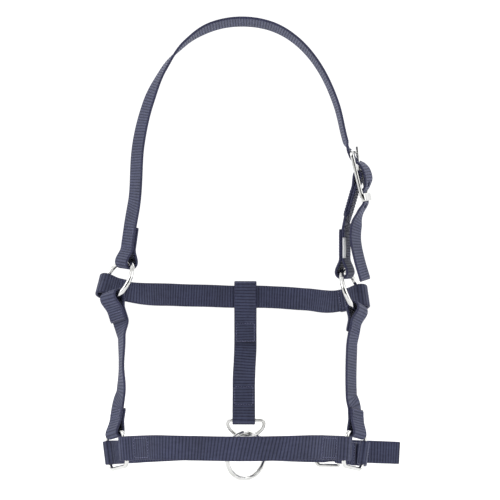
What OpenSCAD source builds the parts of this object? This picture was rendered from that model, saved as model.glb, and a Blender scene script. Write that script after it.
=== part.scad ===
// Head halter for a horse: webbing straps sewn round steel rings, squares and two buckles.
// Frame: the origin is on the inner face of the headpiece at the poll. Z is up, Y runs back from
// the muzzle to the throat, and X runs to the right of someone who faces the wearer. Left and
// right below are that person's left and right. Sizes are in millimetres.

/* [Webbing] */
// Width of every strap
web_w = 25; // [20:1:30]
// Thickness of one ply of webbing
web_t = 2.8; // [1.8:0.1:3.2]
// Length from a bar to the end of the ply that is folded back and sewn
sewn_len = 38; // [34:1:50]
// Distance from a bar to the first row of stitches
neck_len = 15; // [13:1:20]
// Play between webbing and the metal that it wraps
web_play = 0.4; // [0.2:0.05:0.8]
// Gap between two sewn plies
ply_gap = 0.1; // [0.05:0.05:0.3]

/* [Fit on the head] */
// Half width of the headpiece arch
arch_half_w = 115; // [100:1:140]
// Height of the headpiece arch above its widest line
arch_rise = 188; // [155:1:215]
// Distance from the middle to the left upper ring
left_ring_x = 134; // [120:1:155]
// Distance from the middle to the right upper ring
right_ring_x = 118; // [105:1:140]
// Drop from the poll to the left upper ring
ring_drop = 276; // [266:1:320]
// Drop from the left upper ring to the right upper ring
ring_skew = 12; // [0:1:14]
// Drop from the left upper ring to the squares
cheek_drop = 178; // [165:1:215]
// Distance that the squares stand forward of the upper rings
cheek_lead = 35; // [28:1:45]
// Distance that the noseband bows forward of the squares
nose_bow = 62; // [50:1:78]
// Distance of the chin strap behind the squares
chin_back = 77; // [65:1:90]
// Drop from the squares to the middle of the chin strap
chin_dip = 10; // [6:1:16]
// Distance of the throat strap behind the upper rings
throat_back = 55; // [45:1:68]
// Drop from the poll to the crown buckle's tongue bar
buckle_drop = 163; // [155:1:168]
// Length of the headpiece's free end beyond the buckle
crown_tail = 89; // [60:1:96]
// Length of the chin strap's free end beyond the buckle
chin_tail = 68; // [50:1:82]

/* [Rings] */
// Thickness of the wire of the round rings
ring_wire = 5; // [4:0.1:6]
// Clear width of an upper ring beyond the webbing
ring_room = 18; // [17:0.5:22]
// Clear width of the tie ring beyond the webbing
tie_room = 21.5; // [17:0.5:25]
// Turn of the tie ring from the chin strap
tie_turn = 35; // [33:1:40]
// Thickness of the wire of the squares
square_wire = 4.2; // [3.6:0.1:5.4]
// Play left inside a square once its three loops are on
square_play = 0.5; // [0.4:0.1:3]
// Radius of a square's corners, at the middle of the wire
square_corner = 6; // [5:0.5:8]
// Turn of the squares, back bars down
square_turn = 14; // [0:1:20]
// Thickness of the wire of the jaw dee
dee_wire = 3.8; // [3.2:0.1:4.6]
// Clear width of the jaw dee beyond the webbing
dee_room = 11; // [9:0.5:14]
// Lean of the dee, far end back
dee_lean = 38; // [32:1:42]
// Gap between the tie ring, the dee and the chin strap where they lie on each other
rest_gap = 0.4; // [0.4:0.05:0.6]

/* [Buckles] */
// Clear width of a buckle beyond the webbing
buckle_slack = 2.6; // [1.6:0.2:4]
// Distance from a buckle's tongue bar to its front bar
buckle_front = 25; // [23:1:30]
// Distance from the crown buckle's tongue bar to its keeper plate
buckle_back = 25; // [24:1:30]
// Thickness of a buckle's side rails and front bar
rail = 4; // [3.2:0.2:5]
// Thickness of a tongue bar
hinge_bar = 3.6; // [3:0.1:4.4]
// Width of the keeper plate along the strap
keeper_w = 8.5; // [7:0.5:10]
// Thickness of the keeper plate
keeper_t = 2.4; // [2:0.1:3]
// Thickness of a tongue
tongue_d = 3.2; // [2.6:0.1:3.6]
// Clearance of a tongue's eye on its bar
tongue_play = 0.08; // [0.05:0.01:0.1]
// Clearance between a tongue and what it rests on
tongue_gap = 0.3; // [0.2:0.05:0.5]
// Clearance of webbing as it passes a buckle's bars
pass_gap = 0.4; // [0.3:0.1:0.8]
// Slack of the webbing over a tongue bar
bulge = 1.6; // [0:0.5:4]

/* [Holes and label] */
// Number of spare holes in each free end
spare_holes = 2; // [1:1:2]
// Spacing of the adjusting holes
hole_pitch = 25; // [20:1:28]
// Diameter of an adjusting hole
hole_d = 6.4; // [5.6:0.2:7.4]
// Length of the maker's label
label_len = 24; // [16:1:26]
// Distance that the label stands out of its seam
label_out = 4; // [3:0.5:6]
// Thickness of the folded label
label_t = 0.8; // [0.5:0.1:1.2]

/* [Stitching] */
// Length of one stitch
stitch_len = 3; // [2:0.5:4]
// Space between two stitches
stitch_space = 1.1; // [0.8:0.1:2]
// Thickness of the thread
thread_d = 0.7; // [0.5:0.1:1]
// Distance of a stitch row from the edge of the strap
stitch_inset = 2.6; // [2:0.2:4]

/* [Hidden] */
$fn = 48;

UP = [0, 0, 1];
NAVY = [0.16, 0.17, 0.30];
NICKEL = [0.80, 0.81, 0.80];
THREAD = [0.20, 0.21, 0.36];

// ---------- vectors, curves and ribbons ----------

function unit(v) = v / norm(v);
function mix(a, b, s) = a + (b - a) * s;
function ease(s) = s * s * (3 - 2 * s);
// The part of v at right angles to axis, at length 1
function square_to(v, axis) = unit(v - (v * axis) * axis / (axis * axis));
// Hermite curve from p to q with tangents u and v
function hermite(p, u, q, v, s) =
    (2 * s * s * s - 3 * s * s + 1) * p + (s * s * s - 2 * s * s + s) * u
    + (3 * s * s - 2 * s * s * s) * q + (s * s * s - s * s) * v;
function last(list) = list[len(list) - 1];

// Smooth line through knots, each [point, width direction]. It leaves the first knot along
// start and reaches the last along finish, with count steps from knot to knot. The knots
// themselves are left out at both ends, so a run joins other stretches.
function run(knots, start, finish, count) =
    let (n = len(knots) - 1)
    [for (i = [0:n - 1])
        let (p = knots[i][0], q = knots[i + 1][0], chord = norm(q - p),
             u = i == 0 ? start * chord
                 : unit(q - knots[i - 1][0]) * chord,
             v = i == n - 1 ? finish * chord
                 : unit(knots[i + 2][0] - p) * chord)
        for (k = [(i == 0 ? 1 : 0):count - 1])
            let (s = k / count)
            [hermite(p, u, q, v, s), mix(knots[i][1], knots[i + 1][1], ease(s))]];

// Stations of a ribbon, [middle, width direction, face direction], from a list of
// [point, width direction]. The face direction is width x travel.
function stations(line) =
    [for (i = [0:len(line) - 1])
        let (a = line[max(i - 1, 0)][0], b = line[min(i + 1, len(line) - 1)][0],
             along = unit(b - a), wide = square_to(line[i][1], along))
        [line[i][0], wide, cross(wide, along)]];

// Closed ribbon through stations st, w wide and t thick
module ribbon(st, w = web_w, t = web_t) {
    n = len(st);
    corners = [for (s = st) each [
        s[0] - s[1] * w / 2 - s[2] * t / 2, s[0] + s[1] * w / 2 - s[2] * t / 2,
        s[0] + s[1] * w / 2 + s[2] * t / 2, s[0] - s[1] * w / 2 + s[2] * t / 2]];
    walls = [for (i = [0:n - 2], k = [0:3])
        let (a = 4 * i + k, b = 4 * i + (k + 1) % 4) each [[a, b, a + 4], [b, b + 4, a + 4]]];
    polyhedron(corners, concat([[0, 2, 1], [0, 3, 2]], walls,
        [[4 * n - 4, 4 * n - 3, 4 * n - 2], [4 * n - 4, 4 * n - 2, 4 * n - 1]]));
}

// Turns and moves the X, Y and Z axes onto x, y and z at point p
module onto(p, x, y, z) {
    multmatrix([[x.x, y.x, z.x, p.x], [x.y, y.y, z.y, p.y], [x.z, y.z, z.z, p.z], [0, 0, 0, 1]])
        children();
}

// ---------- sewn loops ----------

half_sewn = (web_t + ply_gap) / 2;

// A loop's bar: [point on the bar, bar direction, half thickness to clear]
// Line of a sewn loop round a bar, as [point, width direction], from the cut end of the folded
// ply to the start of the strap. The strap leaves along away, and side is +1 or -1 for the face
// that the folded ply lies on. back is how far the folded ply runs along the strap, and tall is
// the height of a flat bar above the bar's point.
function loop_line(bar, away, back = sewn_len, neck = neck_len, side = 1, tall = 0) =
    let (b = bar[1], d = square_to(away, b), n = cross(b, d) * side,
         r = bar[2] + web_play + web_t / 2,
         flare = [for (s = [0.25:0.25:(tall > 0 ? 1 : 0.75)])
             [neck * (1 - s), mix(half_sewn, r, ease(s))]],
         turns = len(flare) - 1)
    [for (q = concat(
            [[back, -half_sewn], [(back + neck) / 2, -half_sewn], [neck, -half_sewn]],
            [for (f = flare) [f.x, -f.y]],
            [for (a = [0:22.5:180]) [-tall - r * sin(a), -r * cos(a)]],
            [for (i = [turns:-1:0]) flare[i]],
            [[neck, half_sewn], [(back + neck) / 2, half_sewn], [back, half_sewn]]))
        [bar[0] + d * q.x + n * q.y, b]];

function reversed(list) = [for (i = [len(list) - 1:-1:0]) list[i]];

// Whole strap between two bars: loop, run through the middle knots, loop
function strap_line(bar1, away1, bar2, away2, mids, count = 8, side1 = 1, side2 = 1,
                    back = sewn_len, tall = 0) =
    let (a = loop_line(bar1, away1, back, neck_len, side1, tall),
         b = reversed(loop_line(bar2, away2, back, neck_len, side2)),
         start = square_to(away1, bar1[1]), finish = -square_to(away2, bar2[1]))
    concat(a, run(concat([last(a)], mids, [b[0]]), start, finish, count), b);

// Strap from a loop to a free end, where the last knot is the cut
function free_line(bar, away, mids, finish, count = 8, side = 1) =
    let (a = loop_line(bar, away, sewn_len, neck_len, side))
    concat(a, run(concat([last(a)], mids), square_to(away, bar[1]), finish, count), [last(mids)]);

// ---------- metal rings ----------

// Ring frame: [centre, forward direction in its plane, up direction in its plane]. Side is 1 on
// the left and -1 on the right.
function ring_frame(c, normal, side) = [c, side * unit(cross(normal, UP)), square_to(UP, normal)];
// The same, turned in its own plane so that its forward side lifts by turn degrees
function turned(fr, turn) =
    [fr[0], fr[1] * cos(turn) + fr[2] * sin(turn), fr[2] * cos(turn) - fr[1] * sin(turn)];
function flipped(bar) = [bar[0], -bar[1], bar[2]];
// Bar for a loop that sits askew, with its edges along dir
function askew(bar, dir) =
    let (e = unit(dir)) [bar[0], e, bar[2] + web_w / 2 * sin(acos(min(1, e * bar[1])))];

ring_mid = (web_w + ring_room + ring_wire) / 2;
// Where the wire of a round ring ends under the width of a strap, from the ring's centre
ring_high = ring_mid + ring_wire / 2;
ring_low = (ring_mid - ring_wire / 2) * cos(asin(web_w / 2 / (ring_mid - ring_wire / 2)));

// Bar under a loop on a round ring, at angle a from forward towards up
function ring_bar(fr, a) =
    [fr[0] + (fr[1] * cos(a) + fr[2] * sin(a)) * (ring_low + ring_high) / 2,
     fr[2] * cos(a) - fr[1] * sin(a), (ring_high - ring_low) / 2];

square_mid = (web_w + square_play + square_wire) / 2 + web_play + web_t;
function top_bar(fr) = [fr[0] + fr[2] * square_mid, fr[1], square_wire / 2];
function front_bar(fr) = [fr[0] + fr[1] * square_mid, fr[2], square_wire / 2];
function back_bar(fr) = [fr[0] - fr[1] * square_mid, fr[2], square_wire / 2];

left_ring = ring_frame([-left_ring_x, 0, -ring_drop], [0.70, 0.53, -0.48], 1);
right_ring = ring_frame([right_ring_x, 0, -ring_drop - ring_skew], [-0.86, 0.35, -0.37], -1);
square_z = -ring_drop - cheek_drop;
left_square_frame = turned(
    ring_frame([3 - left_ring_x, -cheek_lead, square_z], [0.82, 0.57, 0], 1), square_turn);
right_square_frame = turned(
    ring_frame([right_ring_x, -cheek_lead, square_z], [-0.80, 0.60, 0], -1), square_turn);

module round_ring(fr, mid = ring_mid) {
    color(NICKEL) onto(fr[0], fr[1], fr[2], cross(fr[1], fr[2]))
        rotate_extrude() translate([mid, 0]) circle(d = ring_wire);
}

// Rod from p to q with flat ends
module rod(p, q, d) {
    z = unit(q - p);
    x = square_to(abs(z.z) < 0.9 ? UP : [1, 0, 0], z);
    onto(p, x, cross(z, x), z) cylinder(d = d, h = norm(q - p));
}

// Quarter bend of wire d thick round centre c, from direction a to direction b
module bend(c, a, b, r, d, angle = 90) {
    onto(c, a, b, cross(a, b)) rotate_extrude(angle = angle) translate([r, 0]) circle(d = d);
}

module square_ring(fr) {
    side = square_mid - square_corner;
    color(NICKEL) onto(fr[0], fr[1], fr[2], cross(fr[1], fr[2]))
        for (q = [0:3]) rotate([0, 0, 90 * q]) {
            rod([square_mid, -side, 0], [square_mid, side, 0], square_wire);
            bend([side, side, 0], [1, 0, 0], [0, 1, 0], square_corner, square_wire);
        }
}

module left_upper_ring() { round_ring(left_ring); }
module right_upper_ring() { round_ring(right_ring); }
module left_square() { square_ring(left_square_frame); }
module right_square() { square_ring(right_square_frame); }

// ---------- chin strap, tie ring and jaw dee: where they lie on each other ----------

chin_y = chin_back - cheek_lead;
chin_z = square_z - chin_dip;
hang_x = 4;
tie_mid = (web_w + tie_room + ring_wire) / 2;
dee_end_z = chin_z + web_w / 2 + rest_gap + dee_wire / 2;
tie_z = dee_end_z + dee_wire / 2 + rest_gap + ring_wire / 2 - tie_mid;
// How far the tie ring sits forward of the dee's end, so that both clear each other
TIE_EASE = 0.6;
tie_frame = [[hang_x, chin_y - TIE_EASE, tie_z], [cos(tie_turn), sin(tie_turn), 0], UP];
dee_corner = 5;
dee_half = (web_w + dee_room + dee_wire) / 2;
dee_len = dee_half + dee_corner;
dee_down = [0, sin(dee_lean), -cos(dee_lean)];
dee_bar_at = [hang_x, chin_y, dee_end_z] - dee_down * dee_len;
dee_bar = [dee_bar_at, [1, 0, 0], dee_wire / 2];

module tie_ring() { round_ring(tie_frame, tie_mid); }

// Flat bar, two rounded corners and a half-round end whose sides start at the corners
module jaw_dee() {
    color(NICKEL) onto(dee_bar_at, [1, 0, 0], -dee_down, cross([1, 0, 0], -dee_down)) {
        rod([dee_corner - dee_half, 0, 0], [dee_half - dee_corner, 0, 0], dee_wire);
        for (k = [-1, 1]) {
            bend([k * (dee_half - dee_corner), -dee_corner, 0], [k, 0, 0], [0, 1, 0],
                 dee_corner, dee_wire);
        }
        bend([0, -dee_corner, 0], [-1, 0, 0], [0, -1, 0], dee_half, dee_wire, 180);
    }
}

// ---------- buckles ----------

// Buckle frame of reference: [tongue bar's middle, direction towards the chape, outward]
function buckle_frame(c, down, out) = [c, unit(down), square_to(out, down)];
function across(bf) = cross(bf[2], bf[1]);
// Point in a buckle's frame, x towards the chape and z outward
function at(bf, x, z) = bf[0] + bf[1] * x + bf[2] * z;
module in_buckle(bf) { onto(bf[0], bf[1], across(bf), bf[2]) children(); }

rail_y = (web_w + buckle_slack + rail) / 2;
frame_corner = 5;
// Where the strap's middle runs: under the front bar, over the tongue bar, under the keeper
under_front = -(rail / 2 + pass_gap + web_t / 2);
over_bar = hinge_bar / 2 + web_play + web_t + pass_gap + web_t / 2 + bulge;
keeper_z = web_t / 2 + pass_gap + keeper_t / 2;
tongue_rest = rail / 2 + tongue_gap + tongue_d / 2;
tongue_slope = atan(tongue_rest / buckle_front);
eye_w = 4.5;
eye_wall = 1.5;

crown_frame = buckle_frame([126, 0, -buckle_drop], [0.23, 0, -0.97], [0.93, -0.27, 0.22]);
chin_frame = buckle_frame([107, chin_y - 2, chin_z - 2], [1, 0.02, -0.05], [0, 1, 0]);
crown_bar = [crown_frame[0], -across(crown_frame), hinge_bar / 2];
chin_bar = [chin_frame[0], -across(chin_frame), hinge_bar / 2];

// Front bar, side rails and tongue bar, with rails that end at x = back
module frame_wire(back) {
    rod([-buckle_front, frame_corner - rail_y, 0], [-buckle_front, rail_y - frame_corner, 0], rail);
    rod([0, -rail_y, 0], [0, rail_y, 0], hinge_bar);
    for (k = [-1, 1]) {
        rod([frame_corner - buckle_front, k * rail_y, 0], [back, k * rail_y, 0], rail);
        bend([frame_corner - buckle_front, k * (rail_y - frame_corner), 0],
             [-1, 0, 0], [0, k, 0], frame_corner, rail);
    }
}

module crown_buckle_frame() {
    color(NICKEL) in_buckle(crown_frame) {
        frame_wire(buckle_back);
        translate([buckle_back - keeper_w / 2, -rail_y - rail / 2, keeper_z - keeper_t / 2])
            cube([keeper_w, 2 * rail_y + rail, keeper_t]);
        for (k = [-1, 1])
            translate([buckle_back - keeper_w / 2, k * rail_y - rail / 2, -rail / 2])
                cube([keeper_w, rail, keeper_z + rail / 2]);
    }
}

module chin_buckle_frame() {
    color(NICKEL) in_buckle(chin_frame) {
        frame_wire(0);
        for (k = [-1, 1]) translate([0, k * rail_y, 0]) sphere(d = rail);
    }
}

// Eye on the tongue bar and a pin that reaches over the front bar
module tongue() {
    reach = (buckle_front + rail) / cos(tongue_slope);
    rotate([0, tongue_slope, 0]) difference() {
        union() {
            rod([0, -eye_w / 2, 0], [0, eye_w / 2, 0], hinge_bar + 2 * (tongue_play + eye_wall));
            rod([-reach, 0, 0], [-hinge_bar / 2, 0, 0], tongue_d);
            translate([-reach, 0, 0]) sphere(d = tongue_d);
        }
        rod([0, -eye_w, 0], [0, eye_w, 0], hinge_bar + 2 * tongue_play);
    }
}

module crown_buckle_tongue() { color(NICKEL) in_buckle(crown_frame) tongue(); }
module chin_buckle_tongue() { color(NICKEL) in_buckle(chin_frame) tongue(); }

// Hole that the tongue stands in, cut along the tongue
module tongue_hole(bf) {
    in_buckle(bf) rotate([0, tongue_slope, 0])
        rod([-buckle_front + rail, 0, 0], [-hinge_bar, 0, 0], hole_d);
}

// Slot in a chape for the tongue's eye
module eye_slot(bf) {
    slot_w = eye_w + 1;
    in_buckle(bf) translate([-10, -slot_w / 2, -10]) cube([18, slot_w, 20]);
}

// Knots of a strap through a buckle, from just before the front bar to just past the tongue bar,
// with its own width direction at the first one and tilted over the tongue bar
function threaded(bf, lead, tilt = 0) = let (w = -across(bf), v = w * cos(tilt) - bf[2] * sin(tilt)) [
    [at(bf, -buckle_front - 14, under_front - 2.5), is_undef(lead) ? w : lead],
    [at(bf, -buckle_front, under_front), w], [at(bf, -17, under_front + 2), w],
    [at(bf, -10.5, 0.6 * over_bar), mix(w, v, 0.5)], [at(bf, -3, over_bar - 0.2), v],
    [at(bf, 6, over_bar), v]];

// Station of a ribbon nearest to dist beyond station i
function walk(st, i, dist) = dist <= 0 || i >= len(st) - 2 ? i
    : walk(st, i + 1, dist - norm(st[i + 1][0] - st[i][0]));
// Station nearest to point p
function nearest(st, p) =
    let (gaps = [for (s = st) norm(s[0] - p)], least = min(gaps))
    [for (i = [0:len(st) - 1]) if (gaps[i] == least) i][0];

// Spare holes, a pitch apart, beyond the one that the tongue stands in
module spare_cuts(st, bf, count) {
    first = nearest(st, at(bf, -10, tongue_rest / 2));
    for (k = [1:count]) {
        s = st[walk(st, first, k * hole_pitch)];
        rod(s[0] - s[2] * web_t * 2, s[0] + s[2] * web_t * 2, hole_d);
    }
}

// ---------- straps ----------

CREST = [0, -1, 0.22];
LEFT_LEG = [0.56, -0.83, 0];
RIGHT_LEG = [0.14, -0.99, 0];
// The left leg's turn starts at this angle from the poll and takes this many degrees
TURN_FROM = 8;
TURN_OVER = 62;
ARCH_POWER = 2.2;
// Knot of the headpiece at angle a from the poll, -90 on the left and 90 on the right
function arch(a) =
    [[arch_half_w * sign(a) * pow(abs(sin(a)), 2 / ARCH_POWER), 0,
      web_t / 2 - arch_rise * (1 - pow(cos(a), 2 / ARCH_POWER))],
     a < 0 ? mix(CREST, LEFT_LEG, ease(max(0, min(1, (-a - TURN_FROM) / TURN_OVER)))) : mix(CREST, RIGHT_LEG, ease(a / 90))];

tail_root = at(crown_frame, buckle_back, 0);
TAIL_FACE = [-0.5, -0.87, 0];
// The threaded strap tilts by this angle over the tongue bar
STRAP_TILT = 7;
crown_foot = [flipped(ring_bar(left_ring, 86)), [0.14, 0.02, 1]];
crown_line = free_line(crown_foot[0], crown_foot[1], concat(
    [for (a = [-90:15:60]) arch(a)], threaded(crown_frame, [0.1, -0.99, 0], STRAP_TILT),
    [[at(crown_frame, 14, 0.6 * over_bar), -across(crown_frame)],
     [at(crown_frame, buckle_back - keeper_w / 2 - 1, -0.1), -across(crown_frame)],
     [at(crown_frame, buckle_back + keeper_w / 2 + 1, -0.3), -across(crown_frame)],
     [tail_root + [-5.2, -1, -0.19 * crown_tail], [-0.3, -0.95, 0]],
     [tail_root + [-9.3, -2, -0.34 * crown_tail], TAIL_FACE],
     [tail_root + [-10.2, -3, -0.52 * crown_tail], TAIL_FACE],
     [tail_root + [-6, -4, -0.76 * crown_tail], TAIL_FACE],
     [tail_root + [0, -5, -crown_tail], TAIL_FACE]]), [0.25, 0, -1], 4);
crown_stations = stations(crown_line);

module crown_strap() {
    color(NAVY) difference() {
        ribbon(crown_stations);
        tongue_hole(crown_frame);
        spare_cuts(crown_stations, crown_frame, spare_holes);
    }
}

CROWN_CHAPE_SEWN = 46;
chape_top = [crown_bar, [-0.3, 0, -0.95]];
chape_foot = [flipped(ring_bar(right_ring, 90)), [0, 0, 1]];
crown_chape_line = strap_line(chape_top[0], chape_top[1], chape_foot[0], chape_foot[1],
    [[[112.6, 1.5, -213.5], [-0.32, -0.947, 0]]], 3, 1, -1, CROWN_CHAPE_SEWN);
module crown_chape() {
    color(NAVY) difference() {
        ribbon(stations(crown_chape_line));
        eye_slot(crown_frame);
    }
}

throat_left = [flipped(ring_bar(left_ring, 200)), [0.98, 0.06, -0.21]];
throat_right = [askew(flipped(ring_bar(right_ring, 200)), [-0.1, 0.38, 0.92]), [-0.95, 0.25, -0.1]];
THROAT_SEWN = 24;
throat_z = mix(throat_left[0][0].z, throat_right[0][0].z, 0.5) - 7;
throat_mid = [3.4, throat_back, throat_z];
module throat_strap() {
    color(NAVY) ribbon(stations(strap_line(throat_left[0], throat_left[1],
        throat_right[0], throat_right[1],
        [[[-72, throat_back - 9, throat_z + 2.2], UP], [throat_mid + [-40, -0.7, 1], UP],
         [throat_mid + [-15, 0, 0], UP], [throat_mid + [15, 0, 0], UP],
         [throat_mid + [40, -0.7, -1], UP], [[70, throat_back - 9, throat_z - 2.6], UP]], 5, 1, 1, THROAT_SEWN)));
}

// Height of the jaw strap's loop beyond the throat strap that it holds
JAW_EASE = 1;
jaw_top = [[throat_mid - UP * (web_w + JAW_EASE) / 2, [1, 0, 0], web_t / 2], [0, 0, -1]];
// The jaw strap lies a little to the left on the dee's bar
JAW_ASIDE = 2.3;
jaw_foot = [[dee_bar[0] - [JAW_ASIDE, 0, 0], dee_bar[1], dee_bar[2]], [0, 0.3, 1]];
module jaw_strap() {
    color(NAVY) ribbon(stations(strap_line(jaw_top[0], jaw_top[1], jaw_foot[0], jaw_foot[1],
        [], 8, 1, 1, sewn_len, web_w + JAW_EASE)));
}

CHEEK_SEWN = 26;
// Knots of a cheek strap: share of the way down, shift inwards and width direction
LEFT_CHEEK = [[0.3, 9.2, [0.33, -0.944, 0]], [0.5, 8.3, [0.24, -0.971, 0]], [0.7, 7.3, [0.4, -0.917, 0]]];
RIGHT_CHEEK = [[0.3, -5.6, [-0.48, -0.877, 0]], [0.7, -5.8, [-0.48, -0.877, 0]]];
function cheek_line(top, foot, knots) = strap_line(top[0], top[1], foot[0], foot[1],
    [for (k = knots) [mix(top[0][0], foot[0][0], k[0]) + [k[1], 0, 0], k[2]]], 4, 1, 1, CHEEK_SEWN);

left_cheek_top = [ring_bar(left_ring, 287), [0.35, -0.1, -0.93]];
left_cheek_foot = [top_bar(left_square_frame), [0.25, 0.15, 0.96]];
module left_cheek_strap() {
    color(NAVY) ribbon(stations(cheek_line(left_cheek_top, left_cheek_foot, LEFT_CHEEK)));
}

right_cheek_top = [ring_bar(right_ring, 287), [-0.15, -0.1, -1]];
right_cheek_foot = [top_bar(right_square_frame), [-0.14, 0.15, 1]];
module right_cheek_strap() {
    color(NAVY) ribbon(stations(cheek_line(right_cheek_top, right_cheek_foot, RIGHT_CHEEK)));
}

NOSE_LIFT = 10.5;
nose_left = [askew(front_bar(left_square_frame), front_bar(left_square_frame)[1] + UP),
    [0.75, -0.66, 0]];
nose_right = [askew(front_bar(right_square_frame), front_bar(right_square_frame)[1] + UP),
    [-0.75, -0.66, 0]];
nose_y = -cheek_lead - nose_bow;
module noseband() {
    z = square_z + NOSE_LIFT;
    color(NAVY) ribbon(stations(strap_line(nose_left[0], nose_left[1], nose_right[0], nose_right[1],
        [[[-50, nose_y + 5, z], UP], [[0, nose_y, z], UP], [[44, nose_y + 5, z], UP]],
        6, -1, 1)));
}

chin_left = [back_bar(left_square_frame), [0.55, 0.83, 0]];
chin_line = free_line(chin_left[0], chin_left[1], concat(
    [[[-62, chin_y - 4, chin_z + 1], UP], [[hang_x - 26, chin_y, chin_z], UP],
     [[hang_x + 26, chin_y, chin_z], UP]],
    threaded(chin_frame),
    [[at(chin_frame, 0.45 * chin_tail, over_bar + 1), -across(chin_frame)],
     [at(chin_frame, chin_tail, over_bar + 3), -across(chin_frame)]]), chin_frame[1], 6, 1);
chin_stations = stations(chin_line);
CHIN_SPARE = 1;
module chin_strap() {
    color(NAVY) difference() {
        ribbon(chin_stations);
        tongue_hole(chin_frame);
        spare_cuts(chin_stations, chin_frame, CHIN_SPARE);
    }
}

CHAPE_SEWN = 23;
chin_chape_top = [chin_bar, [0.8, -0.6, 0]];
chin_chape_foot = [back_bar(right_square_frame), [0.2, 0.98, 0]];
module chin_chape() {
    color(NAVY) difference() {
        ribbon(stations(strap_line(chin_chape_top[0], chin_chape_top[1],
            chin_chape_foot[0], chin_chape_foot[1], [], 5, 1, -1, CHAPE_SEWN)));
        eye_slot(chin_frame);
    }
}

// ---------- label and stitching ----------

// Blank woven tag on the face of the crown chape's folded ply, standing out past its front edge
module label_tag() {
    bar = chape_foot[0];
    d = square_to(chape_foot[1], bar[1]);
    n = cross(bar[1], d);
    color("white") onto(bar[0], d, bar[1], cross(d, bar[1]))
        translate([neck_len, web_w / 2 - 6, half_sewn + web_t / 2 + 0.05])
            cube([label_len - 2, 6 + label_out, label_t]);
}

// How far the threads stand off the webbing
THREAD_LIFT = 0.05;
// Stitches of one seam: two rows along the edges and a row across at each end
module seam(bar, away, side, back = sewn_len) {
    d = square_to(away, bar[1]);
    n = cross(bar[1], d) * side;
    z = half_sewn + web_t / 2 + thread_d / 2 + THREAD_LIFT;
    y = web_w / 2 - stitch_inset;
    first = neck_len + 1.5;
    long = back - 3 - first;
    pitch = stitch_len + stitch_space;
    rows = max(1, floor(long / pitch));
    columns = floor((2 * y - 2 * stitch_space) / pitch);
    color(THREAD) {
        for (k = [-1, 1], i = [0:rows - 1]) {
            p = bar[0] + d * (first + stitch_space + i * pitch) + bar[1] * k * y + n * z;
            rod(p, p + d * stitch_len, thread_d, $fn = 6);
        }
        for (x = [first - 0.8, first + long + 0.8], i = [0:columns - 1]) {
            p = bar[0] + d * x + bar[1] * ((i - columns / 2) * pitch + stitch_space / 2) + n * z;
            rod(p, p + bar[1] * stitch_len, thread_d, $fn = 6);
        }
    }
}

module crown_stitching() { seam(crown_foot[0], crown_foot[1], 1); }
module crown_chape_stitching() {
    seam(chape_top[0], chape_top[1], 1, CROWN_CHAPE_SEWN);
    seam(chape_foot[0], chape_foot[1], 1, CROWN_CHAPE_SEWN);
}
module throat_stitching() {
    seam(throat_left[0], throat_left[1], 1, THROAT_SEWN);
    seam(throat_right[0], throat_right[1], 1, THROAT_SEWN);
}
module jaw_stitching() {
    seam(jaw_top[0], jaw_top[1], 1);
    seam(jaw_foot[0], jaw_foot[1], 1);
}
module left_cheek_stitching() {
    seam(left_cheek_top[0], left_cheek_top[1], 1, CHEEK_SEWN);
    seam(left_cheek_foot[0], left_cheek_foot[1], 1, CHEEK_SEWN);
}
module right_cheek_stitching() {
    seam(right_cheek_top[0], right_cheek_top[1], 1, CHEEK_SEWN);
    seam(right_cheek_foot[0], right_cheek_foot[1], 1, CHEEK_SEWN);
}
module noseband_stitching() {
    seam(nose_left[0], nose_left[1], -1);
    seam(nose_right[0], nose_right[1], 1);
}
module chin_stitching() { seam(chin_left[0], chin_left[1], 1); }
module chin_chape_stitching() {
    seam(chin_chape_top[0], chin_chape_top[1], 1, CHAPE_SEWN);
    seam(chin_chape_foot[0], chin_chape_foot[1], 1, CHAPE_SEWN);
}

crown_strap();
crown_chape();
throat_strap();
jaw_strap();
left_cheek_strap();
right_cheek_strap();
noseband();
chin_strap();
chin_chape();
left_upper_ring();
right_upper_ring();
left_square();
right_square();
tie_ring();
jaw_dee();
crown_buckle_frame();
crown_buckle_tongue();
chin_buckle_frame();
chin_buckle_tongue();
label_tag();
crown_stitching();
crown_chape_stitching();
throat_stitching();
jaw_stitching();
left_cheek_stitching();
right_cheek_stitching();
noseband_stitching();
chin_stitching();
chin_chape_stitching();
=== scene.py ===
"""Head halter for a horse: ribbed navy webbing sewn round polished nickel rings and buckles.

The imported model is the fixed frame. Every piece is worked out in millimetres in the frame's own
axes and goes into its mesh in metres: Z is up, Y runs back from the muzzle to the throat, X runs
to the right of someone who faces the wearer, and the origin is at the poll. Left and right are
that person's left and right.
"""
import enum
import logging
from dataclasses import dataclass, field

import bpy
import numpy as np
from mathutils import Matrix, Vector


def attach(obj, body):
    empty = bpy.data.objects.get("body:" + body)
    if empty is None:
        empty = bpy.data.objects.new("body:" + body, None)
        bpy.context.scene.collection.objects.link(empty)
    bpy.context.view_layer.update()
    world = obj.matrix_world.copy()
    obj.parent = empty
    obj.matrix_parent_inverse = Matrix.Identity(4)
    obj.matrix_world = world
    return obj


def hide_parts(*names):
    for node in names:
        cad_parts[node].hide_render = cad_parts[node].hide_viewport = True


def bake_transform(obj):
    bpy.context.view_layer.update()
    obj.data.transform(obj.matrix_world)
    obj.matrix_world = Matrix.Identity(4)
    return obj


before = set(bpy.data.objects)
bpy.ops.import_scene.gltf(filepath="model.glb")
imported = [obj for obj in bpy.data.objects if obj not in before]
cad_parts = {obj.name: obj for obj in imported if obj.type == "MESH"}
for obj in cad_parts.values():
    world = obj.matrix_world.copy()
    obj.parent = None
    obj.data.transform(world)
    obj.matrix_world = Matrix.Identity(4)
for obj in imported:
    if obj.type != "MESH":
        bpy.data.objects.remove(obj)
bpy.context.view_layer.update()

MM = 0.001
UP = np.array([0.0, 0.0, 1.0])
ACROSS = np.array([1.0, 0.0, 0.0])
LOG = logging.getLogger("halter")


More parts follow.
